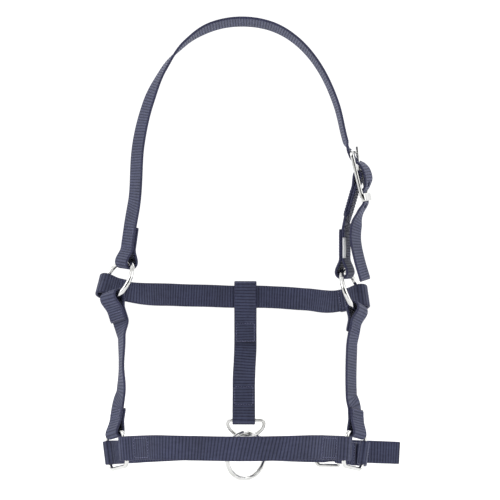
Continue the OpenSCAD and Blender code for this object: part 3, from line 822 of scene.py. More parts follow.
@dataclass(frozen=True)
class Buckle:
    """One buckle: x runs from the tongue bar towards the chape, z outward."""

    middle: np.ndarray
    towards: np.ndarray
    outward: np.ndarray
    keeper: bool
    slack: float = 2.6
    front: float = 25.0
    back: float = 25.0
    rail: float = 4.0
    hinge: float = 3.6
    keeper_w: float = 8.5
    keeper_t: float = 2.4
    tongue: float = 3.2
    tongue_play: float = 0.08
    tongue_gap: float = 0.3
    pass_gap: float = 0.4
    bulge: float = 1.6
    corner: float = 5.0
    eye_w: float = 4.5
    eye_wall: float = 1.5

    @property
    def down(self) -> np.ndarray:
        """Direction from the tongue bar towards the chape."""
        return unit(self.towards)

    @property
    def out(self) -> np.ndarray:
        """Outward direction."""
        return square_to(self.outward, self.down)

    @property
    def across(self) -> np.ndarray:
        """Direction along the tongue bar."""
        return np.cross(self.out, self.down)

    @property
    def plane(self) -> Plane:
        """Plane of the frame."""
        return Plane(self.middle, self.down, self.across)

    @property
    def rail_y(self) -> float:
        """Distance from the middle to a side rail."""
        return (WEB.wide + self.slack + self.rail) / 2

    @property
    def under_front(self) -> float:
        """Height of the strap's middle under the front bar."""
        return -(self.rail / 2 + self.pass_gap + WEB.thick / 2)

    @property
    def over_bar(self) -> float:
        """Height of the strap's middle over the tongue bar."""
        return (self.hinge / 2 + WEB.play + WEB.thick + self.pass_gap + WEB.thick / 2
                + self.bulge)

    @property
    def keeper_z(self) -> float:
        """Height of the keeper plate's middle."""
        return WEB.thick / 2 + self.pass_gap + self.keeper_t / 2

    @property
    def rest(self) -> float:
        """Height of the tongue's middle where it rests on the front bar."""
        return self.rail / 2 + self.tongue_gap + self.tongue / 2

    @property
    def bar(self) -> Bar:
        """The tongue bar, for the chape's loop."""
        return Bar(self.middle, -self.across, self.hinge / 2)

    def at(self, x: float, z: float) -> np.ndarray:
        """Returns the point x towards the chape and z outward."""
        return self.middle + self.down * x + self.out * z

    def threaded(self, lead: np.ndarray | None = None, tilt: float = 0.0) -> list:
        """Returns the knots of a strap through the buckle.

        Args:
            lead: Width direction of the first knot, or None for the buckle's own.
            tilt: Angle by which the strap tilts over the tongue bar.
        """
        w = -self.across
        v = w * np.cos(np.radians(tilt)) - self.out * np.sin(np.radians(tilt))
        spots = (
            (-self.front - 14, self.under_front - 2.5, w if lead is None else lead),
            (-self.front, self.under_front, w), (-17, self.under_front + 2, w),
            (-10.5, 0.6 * self.over_bar, mix(w, v, 0.5)), (-3, self.over_bar - 0.2, v),
            (6, self.over_bar, v))
        return [(self.at(x, z), wide) for x, z, wide in spots]

    def build_frame(self, shop: "Workshop", name: str, body: Body, node: str) -> None:
        """Makes the frame: rails and front bar, tongue bar and, on the crown, a keeper plate.

        Args:
            shop: Dresses and places the piece.
            name: Name of the piece.
            body: Body that it rides on.
            node: The CAD node that it stands for.
        """
        skin = Skin(name)
        half, y, c = self.rail / 2, self.rail_y, self.corner
        front = [arc((c - self.front, y - c), c, 90, 180),
                 arc((c - self.front, c - y), c, 180, 270)]
        if self.keeper:
            path = np.vstack([[[self.back, y]], *front, [[self.back, -y]]])
            wire(skin, self.plane, path, half, closed=False, power=2.5)
            self.add_keeper(skin)
            reach = y
        else:
            heel = 2.2
            path = np.vstack([*front, arc((-heel, heel - y), heel, 270, 360),
                              arc((-heel, y - heel), heel, 0, 89)])
            wire(skin, self.plane, path, half, closed=True, power=2.3)
            reach = y - heel
        domed_rod(skin, self.middle - self.across * reach, self.middle + self.across * reach,
                  self.hinge / 2, dome=0.4)
        shop.metal(skin, body, node)

    def add_keeper(self, skin: Skin) -> None:
        """Adds the keeper: a plate bent down at both sides onto the rails.

        Args:
            skin: The mesh of the frame.
        """
        side = self.rail_y + (self.rail - self.keeper_t) / 2
        bend = 2.2
        top = self.keeper_z
        path = np.vstack([[[side, -self.rail / 4]], arc((side - bend, top - bend), bend, 0, 90),
                          arc((bend - side, top - bend), bend, 90, 180),
                          [[-side, -self.rail / 4]]])
        plane = Plane(self.at(self.back, 0), self.across, self.out)
        wire(skin, plane, path, self.keeper_t / 2, self.keeper_w / 2, closed=False, power=4.5)

    def build_tongue(self, shop: "Workshop", name: str, body: Body, node: str) -> None:
        """Makes the tongue: a rolled eye on the tongue bar and a round pin.

        The eye is a rounded band turned round the bar. The pin's middle bows by
        bow * (1 - s^2) over its length and its radius swells towards the rounded tip.

        Args:
            shop: Dresses and places the piece.
            name: Name of the piece.
            body: Body that it rides on.
            node: The CAD node that it stands for.
        """
        skin = Skin(name)
        slope = np.arctan(self.rest / self.front)
        ahead = -self.down * np.cos(slope) + self.out * np.sin(slope)
        over = np.cross(self.across, ahead)
        over = over if over @ self.out > 0 else -over
        inner = self.hinge / 2 + self.tongue_play
        a = np.radians(np.arange(0, 360, 10))
        b = np.radians(np.arange(0, 360, 20))
        wall = self.eye_wall / 2
        r = inner + wall + wall * np.sign(np.cos(b)) * np.abs(np.cos(b)) ** 0.6
        y = self.eye_w / 2 * np.sign(np.sin(b)) * np.abs(np.sin(b)) ** 0.6
        eye = (self.middle + self.across * y[None, :, None]
               + r[None, :, None] * (np.cos(a)[:, None, None] * ahead
                                     + np.sin(a)[:, None, None] * over))
        skin.wrap(eye, looped=True)
        reach = (self.front + self.rail) / np.cos(slope)
        tip = self.tongue / 2
        s = np.linspace(0, 1, 40)
        far = mix(inner + 0.4, reach + tip, s)
        left = np.clip((reach + tip - far) / tip, 0.03, 1)
        size = tip * np.sqrt(1 - (1 - left) ** 2)
        turn = np.linspace(0, 2 * np.pi, 20, endpoint=False)
        grid = (self.middle + ahead * far[:, None, None]
                + size[:, None, None] * (np.cos(turn)[None, :, None] * self.across
                                         + np.sin(turn)[None, :, None] * over))
        skin.wrap(grid)
        shop.metal(skin, body, node)


# ---------- finishes ----------


class Nodes:
    """Short way to lay out the nodes of one tree."""

    def __init__(self, tree: bpy.types.NodeTree) -> None:
        """Keeps the tree.

        Args:
            tree: Tree of a material, a world or a group.
        """
        self.tree = tree

    def add(self, kind: str, inputs: dict | None = None, **settings) -> bpy.types.Node:
        """Adds a node.

        Args:
            kind: The node's type, without the word ShaderNode in front.
            inputs: Values or output sockets for its inputs, by name or number.
            **settings: Properties of the node.

        Returns:
            The new node.
        """
        prefix = "" if kind.startswith("Node") else "ShaderNode"
        made = self.tree.nodes.new(prefix + kind)
        for key, value in settings.items():
            setattr(made, key, value)
        for key, value in (inputs or {}).items():
            if isinstance(value, bpy.types.NodeSocket):
                self.tree.links.new(value, made.inputs[key])
            else:
                made.inputs[key].default_value = value
        return made

    def maths(self, operation: str, first: bpy.types.NodeSocket | float,
              second: bpy.types.NodeSocket | float = 0.0,
              clamp: bool = False) -> bpy.types.NodeSocket:
        """Returns the output of a Math node."""
        return self.add("Math", {0: first, 1: second}, operation=operation,
                        use_clamp=clamp).outputs[0]

    def blend(self, share: bpy.types.NodeSocket | float, first: bpy.types.NodeSocket | tuple,
              second: bpy.types.NodeSocket | tuple, how: str = "MIX") -> bpy.types.NodeSocket:
        """Adds a colour Mix node.

        Args:
            share: How much of the second colour there is.
            first: Colour at share 0.
            second: Colour at share 1.
            how: Blender's name for the way of blending.

        Returns:
            The node's colour output.
        """
        made = self.add("Mix", {"Factor": share}, data_type="RGBA", blend_type=how)
        for key, value in ((6, first), (7, second)):
            if isinstance(value, bpy.types.NodeSocket):
                self.tree.links.new(value, made.inputs[key])
            else:
                made.inputs[key].default_value = value
        return made.outputs[2]


def new_group(name: str, ins: dict, outs: dict) -> tuple:
    """Makes an empty node group.

    Args:
        name: Name of the group.
        ins: Socket type and default of each input, by name.
        outs: Socket type of each output, by name.

    Returns:
        The tree, its Nodes, its input node and its output node.
    """
    tree = bpy.data.node_groups.new(name, "ShaderNodeTree")
    for key, (kind, default) in ins.items():
        made = tree.interface.new_socket(key, in_out="INPUT", socket_type=kind)
        if default is not None:
            made.default_value = default
    for key, kind in outs.items():
        tree.interface.new_socket(key, in_out="OUTPUT", socket_type=kind)
    nodes = Nodes(tree)
    return tree, nodes, nodes.add("NodeGroupInput"), nodes.add("NodeGroupOutput")


COLOUR, NUMBER, VECTOR = "NodeSocketColor", "NodeSocketFloat", "NodeSocketVector"


def woven_group() -> bpy.types.NodeTree:
    """Group for ribbed webbing, on the map whose U counts ribs and whose V runs across.

    Its rib is |sin(pi U)|^0.6, its yarn |sin(pi (20 V + half the rib's number))|, and its
    selvedge a band at both edges of V. The colour goes from groove to crest with rib and yarn:
    painted shade in the grooves and between the yarns, a painted highlight on the crests.

    Returns:
        The group.
    """
    # The Crest colour is the navy with a painted highlight, the Groove colour the navy in painted
    # shade.
    tree, n, given, out = new_group(
        "ribbed_weave",
        {"Map": (VECTOR, None), "Place": (VECTOR, None), "Crest": (COLOUR, (0.1, 0.1, 0.2, 1)),
         "Groove": (COLOUR, (0.02, 0.02, 0.06, 1)), "Edge": (COLOUR, (0.03, 0.03, 0.1, 1)),
         "Melt": (NUMBER, 0.0)},
        {"Colour": COLOUR, "Height": NUMBER, "Roughness": NUMBER})
    split = n.add("SeparateXYZ", {0: given.outputs["Map"]})
    u, v = split.outputs[0], split.outputs[1]
    rib = n.maths("POWER", n.maths("ABSOLUTE", n.maths("SINE", n.maths("MULTIPLY", u, np.pi))),
                  0.75)
    number = n.maths("FLOOR", u)
    shifted = n.maths("ADD", n.maths("MULTIPLY", v, 18.0), n.maths("MULTIPLY", number, 0.5))
    yarn = n.maths("ABSOLUTE", n.maths("SINE", n.maths("MULTIPLY", shifted, np.pi)))
    across = n.maths("MULTIPLY", n.maths("ABSOLUTE", n.maths(
        "SUBTRACT", n.maths("FRACT", v), 0.5)), 2.0)
    edge = n.add("MapRange", {"Value": across, "From Min": 0.84, "From Max": 0.94},
                 interpolation_type="SMOOTHSTEP").outputs[0]
    streaks = n.add("TexNoise", {"Vector": n.add(
        "Mapping", {"Vector": given.outputs["Map"], "Scale": (0.35, 9.0, 1.0)}).outputs[0],
        "Scale": 1.0, "Detail": 3.0}).outputs[0]
    patches = n.add("TexNoise", {"Vector": given.outputs["Place"], "Scale": 34.0,
                                 "Detail": 2.0}).outputs[0]
    # Painted light and shade of the ribs: near 1 on the crests and yarn tops for the painted
    # highlight, near 0 in the grooves and between the yarns for the painted shade; the streaks add
    # random tone.
    rib_light_shade = n.maths("MULTIPLY", rib, n.maths("ADD", n.maths("MULTIPLY", yarn, 0.35), 0.62))
    rib_light_shade = n.maths("ADD", rib_light_shade, n.maths("MULTIPLY", n.maths("SUBTRACT", streaks, 0.5), 0.55),
                    clamp=True)
    # Groove colour as painted shade and crest colour as painted highlight, following the rib mask.
    body = n.blend(rib_light_shade, given.outputs["Groove"], given.outputs["Crest"])
    body = n.blend(n.maths("MULTIPLY", edge, 0.75), body, given.outputs["Edge"])
    tone = n.add("MapRange", {"Value": patches, "From Min": 0.3, "From Max": 0.7,
                              "To Min": 0.86, "To Max": 1.12}).outputs[0]
    grey = n.add("CombineColor", {0: tone, 1: tone, 2: tone}).outputs[0]
    body = n.blend(1.0, body, grey, "MULTIPLY")
    body = n.blend(n.maths("MULTIPLY", given.outputs["Melt"], 0.8), body, (0.012, 0.012, 0.03, 1))
    height = n.maths("ADD", n.maths("MULTIPLY", rib, 0.55), n.maths("MULTIPLY", yarn, 0.45))
    rough = n.maths("ADD", 0.52, n.maths("MULTIPLY", n.maths("SUBTRACT", 1.0, rib_light_shade), 0.28))
    rough = n.maths("SUBTRACT", rough, n.maths("MULTIPLY", given.outputs["Melt"], 0.25))
    for key, value in (("Colour", body), ("Height", height), ("Roughness", rough)):
        tree.links.new(value, out.inputs[key])
    return tree


def patina_group() -> bpy.types.NodeTree:
    """Group for handled metal: a smudge mask, fine scratches and a slow unevenness.

    Returns:
        The group.
    """
    tree, n, given, out = new_group(
        "handled_surface",
        {"Place": (VECTOR, None), "Clean": (COLOUR, (0.8, 0.8, 0.8, 1)),
         "Dull": (COLOUR, (0.6, 0.6, 0.6, 1)), "Smooth": (NUMBER, 0.1), "Worn": (NUMBER, 0.3)},
        {"Colour": COLOUR, "Height": NUMBER, "Roughness": NUMBER})
    place = given.outputs["Place"]
    smudge = n.add("TexNoise", {"Vector": place, "Scale": 90.0, "Detail": 4.0}).outputs[0]
    smudge = n.add("MapRange", {"Value": smudge, "From Min": 0.42, "From Max": 0.7},
                   interpolation_type="SMOOTHSTEP").outputs[0]
    scratch = n.add("TexNoise", {"Vector": n.add(
        "Mapping", {"Vector": place, "Scale": (2600.0, 300.0, 2600.0),
                    "Rotation": (0.4, 0.7, 0.3)}).outputs[0],
        "Scale": 1.0, "Detail": 2.0}).outputs[0]
    colour = n.blend(smudge, given.outputs["Clean"], given.outputs["Dull"])
    rough = n.add("MapRange", {"Value": n.maths("ADD", n.maths("MULTIPLY", smudge, 0.6),
                                                n.maths("MULTIPLY", scratch, 0.4)),
                               "To Min": given.outputs["Smooth"],
                               "To Max": given.outputs["Worn"]}).outputs[0]
    height = n.maths("ADD", n.maths("MULTIPLY", scratch, 0.35), smudge)
    for key, value in (("Colour", colour), ("Height", height), ("Roughness", rough)):
        tree.links.new(value, out.inputs[key])
    return tree


def fresh_material(name: str, **sockets) -> tuple:
    """Makes a material with a Principled shader.

    Args:
        name: Name of the material.
        **sockets: Plain values of the shader, with _ for a space in the socket's name.

    Returns:
        The material, its Nodes and its shader.
    """
    material = bpy.data.materials.new(name)
    material.use_nodes = True
    shader = material.node_tree.nodes["Principled BSDF"]
    for key, value in sockets.items():
        shader.inputs[key.replace("_", " ")].default_value = value
    return material, Nodes(material.node_tree), shader


def dress(nodes: Nodes, shader: bpy.types.Node, group: bpy.types.Node, bump: float,
          deep: float) -> None:
    """Links a group's colour, roughness and height to a shader.

    Args:
        nodes: Nodes of the material.
        shader: The Principled shader.
        group: Node of the group.
        bump: Strength of the bump.
        deep: Its depth in metres.
    """
    links = nodes.tree.links
    links.new(group.outputs["Colour"], shader.inputs["Base Color"])
    links.new(group.outputs["Roughness"], shader.inputs["Roughness"])
    made = nodes.add("Bump", {"Height": group.outputs["Height"], "Strength": bump,
                              "Distance": deep})
    links.new(made.outputs[0], shader.inputs["Normal"])


@dataclass(frozen=True)
class WebbingFinish:
    """Navy nylon webbing: its navy with a painted highlight on the rib crests, painted shade in
    the grooves, and a plain selvedge.
    """

    # crest is the navy with a painted highlight, groove the navy in painted shade; edge is the
    # selvedge colour.
    crest: tuple = (0.046, 0.053, 0.110, 1.0)
    groove: tuple = (0.004, 0.005, 0.020, 1.0)
    edge: tuple = (0.016, 0.017, 0.052, 1.0)

    def build(self, group: bpy.types.NodeTree) -> bpy.types.Material:
        """Makes the material.

        Args:
            group: The weave group.

        Returns:
            The webbing's material.
        """
        material, n, shader = fresh_material(
            "navy_webbing", Sheen_Weight=0.10, Sheen_Roughness=0.45,
            Specular_IOR_Level=0.38)
        shader.inputs["Sheen Tint"].default_value = (0.62, 0.66, 0.95, 1)
        made = n.add("Group", node_tree=group)
        n.tree.links.new(n.add("UVMap", uv_map="weave").outputs[0], made.inputs["Map"])
        n.tree.links.new(n.add("TexCoord").outputs["Object"], made.inputs["Place"])
        n.tree.links.new(n.add("Attribute", attribute_name="melt").outputs["Fac"],
                         made.inputs["Melt"])
        for key, value in (("Crest", self.crest), ("Groove", self.groove), ("Edge", self.edge)):
            made.inputs[key].default_value = value
        dress(n, shader, made, 0.55, 0.0004)
        return material


@dataclass(frozen=True)
class ThreadFinish:
    """Twisted polyester thread, a shade lighter than the webbing."""

    clean: tuple = (0.105, 0.110, 0.215, 1.0)
    dull: tuple = (0.045, 0.048, 0.115, 1.0)

    def build(self, group: bpy.types.NodeTree) -> bpy.types.Material:
        """Makes the material.

        Args:
            group: The handled surface group.

        Returns:
            The finished material.
        """
        material, n, shader = fresh_material("navy_thread", Sheen_Weight=0.2)
        made = n.add("Group", {"Smooth": 0.4, "Worn": 0.62, "Clean": self.clean,
                               "Dull": self.dull}, node_tree=group)
        n.tree.links.new(n.add("TexCoord").outputs["Object"], made.inputs["Place"])
        dress(n, shader, made, 0.4, 0.0001)
        return material


@dataclass(frozen=True)
class NickelFinish:
    """Polished nickel plate with faint smudges and scratches."""

    clean: tuple = (0.66, 0.66, 0.65, 1.0)
    dull: tuple = (0.50, 0.50, 0.48, 1.0)

    def build(self, group: bpy.types.NodeTree) -> bpy.types.Material:
        """Makes the material.

        Args:
            group: The handled surface group.

        Returns:
            The finished material.
        """
        material, n, shader = fresh_material("polished_nickel", Metallic=1.0)
        made = n.add("Group", {"Smooth": 0.07, "Worn": 0.2, "Clean": self.clean,
                               "Dull": self.dull}, node_tree=group)
        n.tree.links.new(n.add("TexCoord").outputs["Object"], made.inputs["Place"])
        dress(n, shader, made, 0.12, 0.0001)
        return material


@dataclass(frozen=True)
class LabelFinish:
    """Blank woven satin tag, white with a grey line along both edges."""

    white: tuple = (0.80, 0.81, 0.82, 1.0)
    line: tuple = (0.30, 0.31, 0.36, 1.0)

    def build(self) -> bpy.types.Material:
        """Returns the material: fine rows across V and a line near both ends of U."""
        material, n, shader = fresh_material("satin_label", Sheen_Weight=0.3)
        split = n.add("SeparateXYZ", {0: n.add("UVMap", uv_map="weave").outputs[0]})
        u = split.outputs[0]
        rows = n.maths("ABSOLUTE", n.maths("SINE", n.maths("MULTIPLY", u, 150.0)))
        off = n.maths("ABSOLUTE", n.maths("SUBTRACT", n.maths("MULTIPLY", u, 2.0), 1.0))
        near = n.maths("MULTIPLY", n.maths("GREATER_THAN", off, 0.88),
                       n.maths("LESS_THAN", off, 0.93))
        tone = n.maths("ADD", n.maths("MULTIPLY", rows, 0.12), 0.86)
        grey = n.add("CombineColor", {0: tone, 1: tone, 2: tone}).outputs[0]
        colour = n.blend(1.0, n.blend(near, self.white, self.line), grey, "MULTIPLY")
        n.tree.links.new(colour, shader.inputs["Base Color"])
        n.tree.links.new(n.maths("ADD", n.maths("MULTIPLY", rows, 0.2), 0.4),
                         shader.inputs["Roughness"])
        bump = n.add("Bump", {"Height": rows, "Strength": 0.3, "Distance": 0.0001})
        n.tree.links.new(bump.outputs[0], shader.inputs["Normal"])
        return material


# ---------- making and placing pieces ----------


class Workshop:
    """Gives the finished pieces their material, slot, body and CAD node."""

    def __init__(self) -> None:
        """Makes the finishes once."""
        weave_tree, worn_tree = woven_group(), patina_group()
        self.materials = {
            Slot.WEBBING: WebbingFinish().build(weave_tree),
            Slot.THREAD: ThreadFinish().build(worn_tree),
            Slot.NICKEL: NickelFinish().build(worn_tree),
            Slot.LABEL: LabelFinish().build(),
        }

    def finish(self, thing: bpy.types.Object, slot: Slot, nodes: tuple, body: Body | None = None,
               bend: tuple | None = None) -> None:
        """Dresses a piece, hides its CAD nodes, and ties it to a body of the frame or, with no
        body, bakes its transform.

        Args:
            thing: The piece.
            slot: Its material slot.
            nodes: CAD nodes that it stands for.
            body: Body that it rides on, or None to bake its transform in place.
            bend: Not used.
        """
        thing.data.materials.append(self.materials[slot])
        if nodes:
            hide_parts(*nodes)
        if body is not None:
            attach(thing, body.value)
        else:
            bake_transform(thing)
        LOG.info("%s: %d faces on %s", thing.name, len(thing.data.polygons),
                 body.value if body else "root and lower_hoop")

    def metal(self, skin: Skin, body: Body, node: str) -> None:
        """Finishes a nickel piece that stands for one CAD node."""
        self.finish(skin.build(), Slot.NICKEL, (node,), body)

    def strap(self, name: str, node: str, line: Line, mood: Mood, body: Body | None = None,
              bend: tuple | None = None, punches: list | None = None) -> np.ndarray:
        """Makes one strap.

        Args:
            name: Name of the piece.
            node: CAD node that it stands for.
            line: Its middle line.
            mood: How its ribs wander.
            body: Body that it rides on, or None to bake its transform in place.
            bend: Start and end of a bend, passed on as it is.
            punches: Start, finish and radius of each hole, in millimetres.

        Returns:
            Middle points, width directions and face directions along the strap.
        """
        skin = Skin(name)
        rows = weave(skin, line, mood)
        thing = skin.build()
        if punches:
            punch(thing, punches)
        self.finish(thing, Slot.WEBBING, (node,), body, bend)
        return rows

    def sewing(self, name: str, node: str, seams: list, body: Body | None = None,
               bend: tuple | None = None) -> None:
        """Makes the stitches of one strap.

        Args:
            name: Name of the piece.
            node: CAD node that it stands for.
            seams: The seams of the strap.
            body: Body that it rides on, or None to bake its transform in place.
            bend: Start and end of a bend, passed on as it is.
        """
        skin = Skin(name)
        for seam in seams:
            STITCHING.sew(skin, seam)
        self.finish(skin.build(), Slot.THREAD, (node,), body, bend)


def punch(thing: bpy.types.Object, punches: list) -> None:
    """Cuts round holes through a strap.

    Args:
        thing: The strap.
        punches: Start, finish and radius of each hole, in millimetres.
    """
    cutter = Skin("punch")
    for start, finish, radius in punches:
        domed_rod(cutter, start, finish, radius, dome=0.05)
    tool = cutter.build()
    made = thing.modifiers.new("holes", "BOOLEAN")
    made.operation, made.solver, made.object = "DIFFERENCE", "EXACT", tool
    seen = thing.evaluated_get(bpy.context.evaluated_depsgraph_get())
    mesh = bpy.data.meshes.new_from_object(seen)
    old = thing.data
    thing.modifiers.clear()
    thing.data = mesh
    mesh.materials.clear()
    bpy.data.meshes.remove(old)
    bpy.data.objects.remove(tool)


def punch_places(rows: np.ndarray, origin: np.ndarray, pitch: float, count: int) -> list:
    """Finds the spare holes of a strap.

    Args:
        rows: Middle points, width and face directions along the strap.
        origin: Where the tongue's hole is.
        pitch: Distance from hole to hole.
        count: Number of spare holes.

    Returns:
        Middle, width direction and face direction of every spare hole, as arrays of nine.
    """
    first = int(np.argmin(np.linalg.norm(rows[:, :3] - origin, axis=1)))
    step = np.linalg.norm(rows[1, :3] - rows[0, :3])
    return [rows[min(len(rows) - 1, first + int(round(k * pitch / step)))]
            for k in range(1, count + 1)]


def rims(skin: Skin, spots: list, radius: float) -> None:
    """Adds the melted rim of every hole on both faces: a low ring, half sunk in the webbing.

    Args:
        skin: Mesh that takes them.
        spots: Each hole's middle, width direction and face direction in one row.
        radius: Radius of a rim, in mm.
    """
    for spot in spots:
        middle, wide, face = spot[:3], spot[3:6], spot[6:]
        for side in (1, -1):
            plane = Plane(middle + face * side * (WEB.thick / 2 - 0.1), wide,
                          np.cross(face, wide))
            wire(skin, plane, arc((0, 0), radius, 0, 350), 0.5, 0.28, steps=10, step=0.6)


# ---------- the halter ----------


@dataclass(frozen=True)
class Headpiece:
    """Crown strap with its buckle, the chape that holds the buckle, and the blank label."""

    rings: Rings
    arch_half: float = 115.0
    arch_rise: float = 188.0
    arch_power: float = 2.2
    buckle_drop: float = 163.0
    tail: float = 89.0
    hole: float = 6.4
    hole_pitch: float = 25.0
    spare_holes: int = 2
    label_long: float = 24.0
    chape_sewn: float = 46.0
    label_out: float = 4.0
    left_leg: tuple = (0.56, -0.83, 0.0)
    right_leg: tuple = (0.14, -0.99, 0.0)
    crest: tuple = (0.0, -1.0, 0.22)
    tail_face: tuple = (-0.5, -0.87, 0.0)
    turn_from: float = 8.0
    turn_over: float = 62.0

    @property
    def buckle(self) -> Buckle:
        """The crown buckle."""
        return Buckle(vec(126, 0, -self.buckle_drop), vec(0.23, 0, -0.97),
                      vec(0.93, -0.27, 0.22), True)

    @property
    def left_seam(self) -> Seam:
        """Loop of the crown strap on the left ring."""
        return Seam(self.rings.ring_bar(self.rings.left, 86).flipped(), vec(0.14, 0.02, 1))

    @property
    def chape_seams(self) -> list:
        """Loops of the chape on the tongue bar and on the right ring."""
        return [Seam(self.buckle.bar, vec(-0.3, 0, -0.95), back=self.chape_sewn),
                Seam(self.rings.ring_bar(self.rings.right, 90).flipped(), vec(0, 0, 1), -1,
                     self.chape_sewn)]

    def arch(self, degrees: float) -> tuple:
        """Knot of the arch: a superellipse over the poll, at an angle from it.

        Args:
            degrees: -90 at the left end, 0 at the poll, 90 at the right end.

        Returns:
            The point and the width direction.
        """
        a = np.radians(degrees)
        x = self.arch_half * np.sign(a) * abs(np.sin(a)) ** (2 / self.arch_power)
        z = WEB.thick / 2 - self.arch_rise * (1 - max(np.cos(a), 0.0) ** (2 / self.arch_power))
        if a < 0:
            leg = vec(*self.left_leg)
            turn = float(np.clip((-degrees - self.turn_from) / self.turn_over, 0, 1))
        else:
            leg, turn = vec(*self.right_leg), degrees / 90
        return vec(x, 0, z), mix(vec(*self.crest), leg, ease(turn))

    def crown_line(self) -> Line:
        """Line of the crown strap, over the poll and through the buckle to its cut end."""
        b = self.buckle
        root = b.at(b.back, 0)
        w, tail = -b.across, vec(*self.tail_face)
        half = b.keeper_w / 2 + 1
        knots = [self.arch(a) for a in range(-90, 61, 15)] + b.threaded(vec(0.1, -0.99, 0), 7) + [
            (b.at(14, 0.6 * b.over_bar), w),
            (b.at(b.back - half, -0.1), w), (b.at(b.back + half, -0.3), w),
            (root + vec(-5.2, -1, -0.19 * self.tail), vec(-0.3, -0.95, 0)),
            (root + vec(-9.3, -2, -0.34 * self.tail), tail),
            (root + vec(-10.2, -3, -0.52 * self.tail), tail),
            (root + vec(-6, -4, -0.76 * self.tail), tail),
            (root + vec(0, -5, -self.tail), tail)]
        return strap_to_cut(self.left_seam, knots, vec(0.25, 0, -1))

    def build(self, shop: Workshop) -> None:
        """Makes the headpiece.

        Args:
            shop: Dresses and places the pieces.
        """
        b = self.buckle
        line = self.crown_line()
        plain = Skin("plan")
        rows = weave(plain, line, Mood(seed=11))
        spots = punch_places(rows, b.at(-10, b.rest / 2), self.hole_pitch, self.spare_holes)
        shop.strap("crown_webbing", "crown_strap", line, Mood(seed=11), Body.ROOT,
                   punches=hole_cuts(b, spots, self.hole))
        trim = Skin("crown_hole_rims")
        rims(trim, spots, self.hole / 2)
        shop.finish(trim.build(), Slot.WEBBING, (), Body.ROOT)
        shop.sewing("crown_threads", "crown_stitching", [self.left_seam], Body.ROOT)
        top, foot = self.chape_seams
        chape = strap_between(top, foot, [(vec(112.6, 1.5, -213.5), vec(-0.32, -0.947, 0))])
        shop.strap("chape_webbing", "crown_chape", chape, Mood(seed=23), Body.ROOT,
                   punches=eye_cut(b))
        shop.sewing("chape_threads", "crown_chape_stitching", [top, foot], Body.ROOT)
        b.build_frame(shop, "crown_buckle_wire", Body.ROOT, "crown_buckle_frame")
        b.build_tongue(shop, "crown_buckle_pin", Body.CROWN_TONGUE, "crown_buckle_tongue")
        self.build_label(shop, foot)

    def build_label(self, shop: Workshop, seam: Seam) -> None:
        """Makes the label: a ribbon folded over at its outer edge, caught in the chape's seam.

        Across, the ribbon runs out along one layer, round a half circle and back along the
        other. Along, both layers lift and fall by a slow sine.

        Args:
            shop: Dresses and places the piece.
            seam: The seam that holds it.
        """
        d, b, n = seam.ahead, seam.bar.along, seam.face
        inner, outer = WEB.wide / 2 - 5.8, WEB.wide / 2 + self.label_out - 0.3
        low = WEB.half_sewn + WEB.thick / 2 + 0.2
        gap = 0.21
        fold = np.radians(np.linspace(-90, 90, 9))
        y = np.concatenate([np.linspace(inner, outer - gap, 10), outer - gap + gap * np.cos(fold),
                            np.linspace(outer - gap, inner, 10)])
        z = np.concatenate([np.full(10, -gap), gap * np.sin(fold), np.full(10, gap)]) + gap
        x = np.linspace(WEB.neck + 0.2, WEB.neck + self.label_long - 2.2, 40)
        lift = 0.04 * np.sin(x * 0.55)
        grid = (seam.bar.point + x[:, None, None] * d + y[None, :, None] * b
                + (low + z[None, :] + lift[:, None])[..., None] * n)
        skin = Skin("blank_label")
        skin.wrap(grid, sheet=True)
        thing = skin.build()
        thick = thing.modifiers.new("cloth", "SOLIDIFY")
        thick.thickness, thick.offset = 0.26 * MM, 0.0
        shop.finish(thing, Slot.LABEL, ("label_tag",), Body.ROOT)


def hole_cuts(b: Buckle, spots: list, wide: float) -> list:
    """Cuts of a threaded strap: the hole that the tongue stands in, then the spare holes.

    Args:
        b: The buckle.
        spots: Middle, width and face direction of the spare holes.
        wide: Diameter of a hole.

    Returns:
        Start, finish and radius of every cut.
    """
    slope = np.arctan(b.rest / b.front)
    ahead = -b.down * np.cos(slope) + b.out * np.sin(slope)
    cuts = [(b.middle + ahead * b.hinge, b.middle + ahead * (b.front - b.rail), wide / 2)]
    return cuts + [(s[:3] - s[6:] * WEB.thick * 2, s[:3] + s[6:] * WEB.thick * 2, wide / 2)
                   for s in spots]


def eye_cut(b: Buckle) -> list:
    """Returns the cut in a chape's fold for the tongue's eye."""
    half = (b.eye_w + 1) / 2
    return [(b.at(-8, 0), b.at(7.6, -0.6), half)]


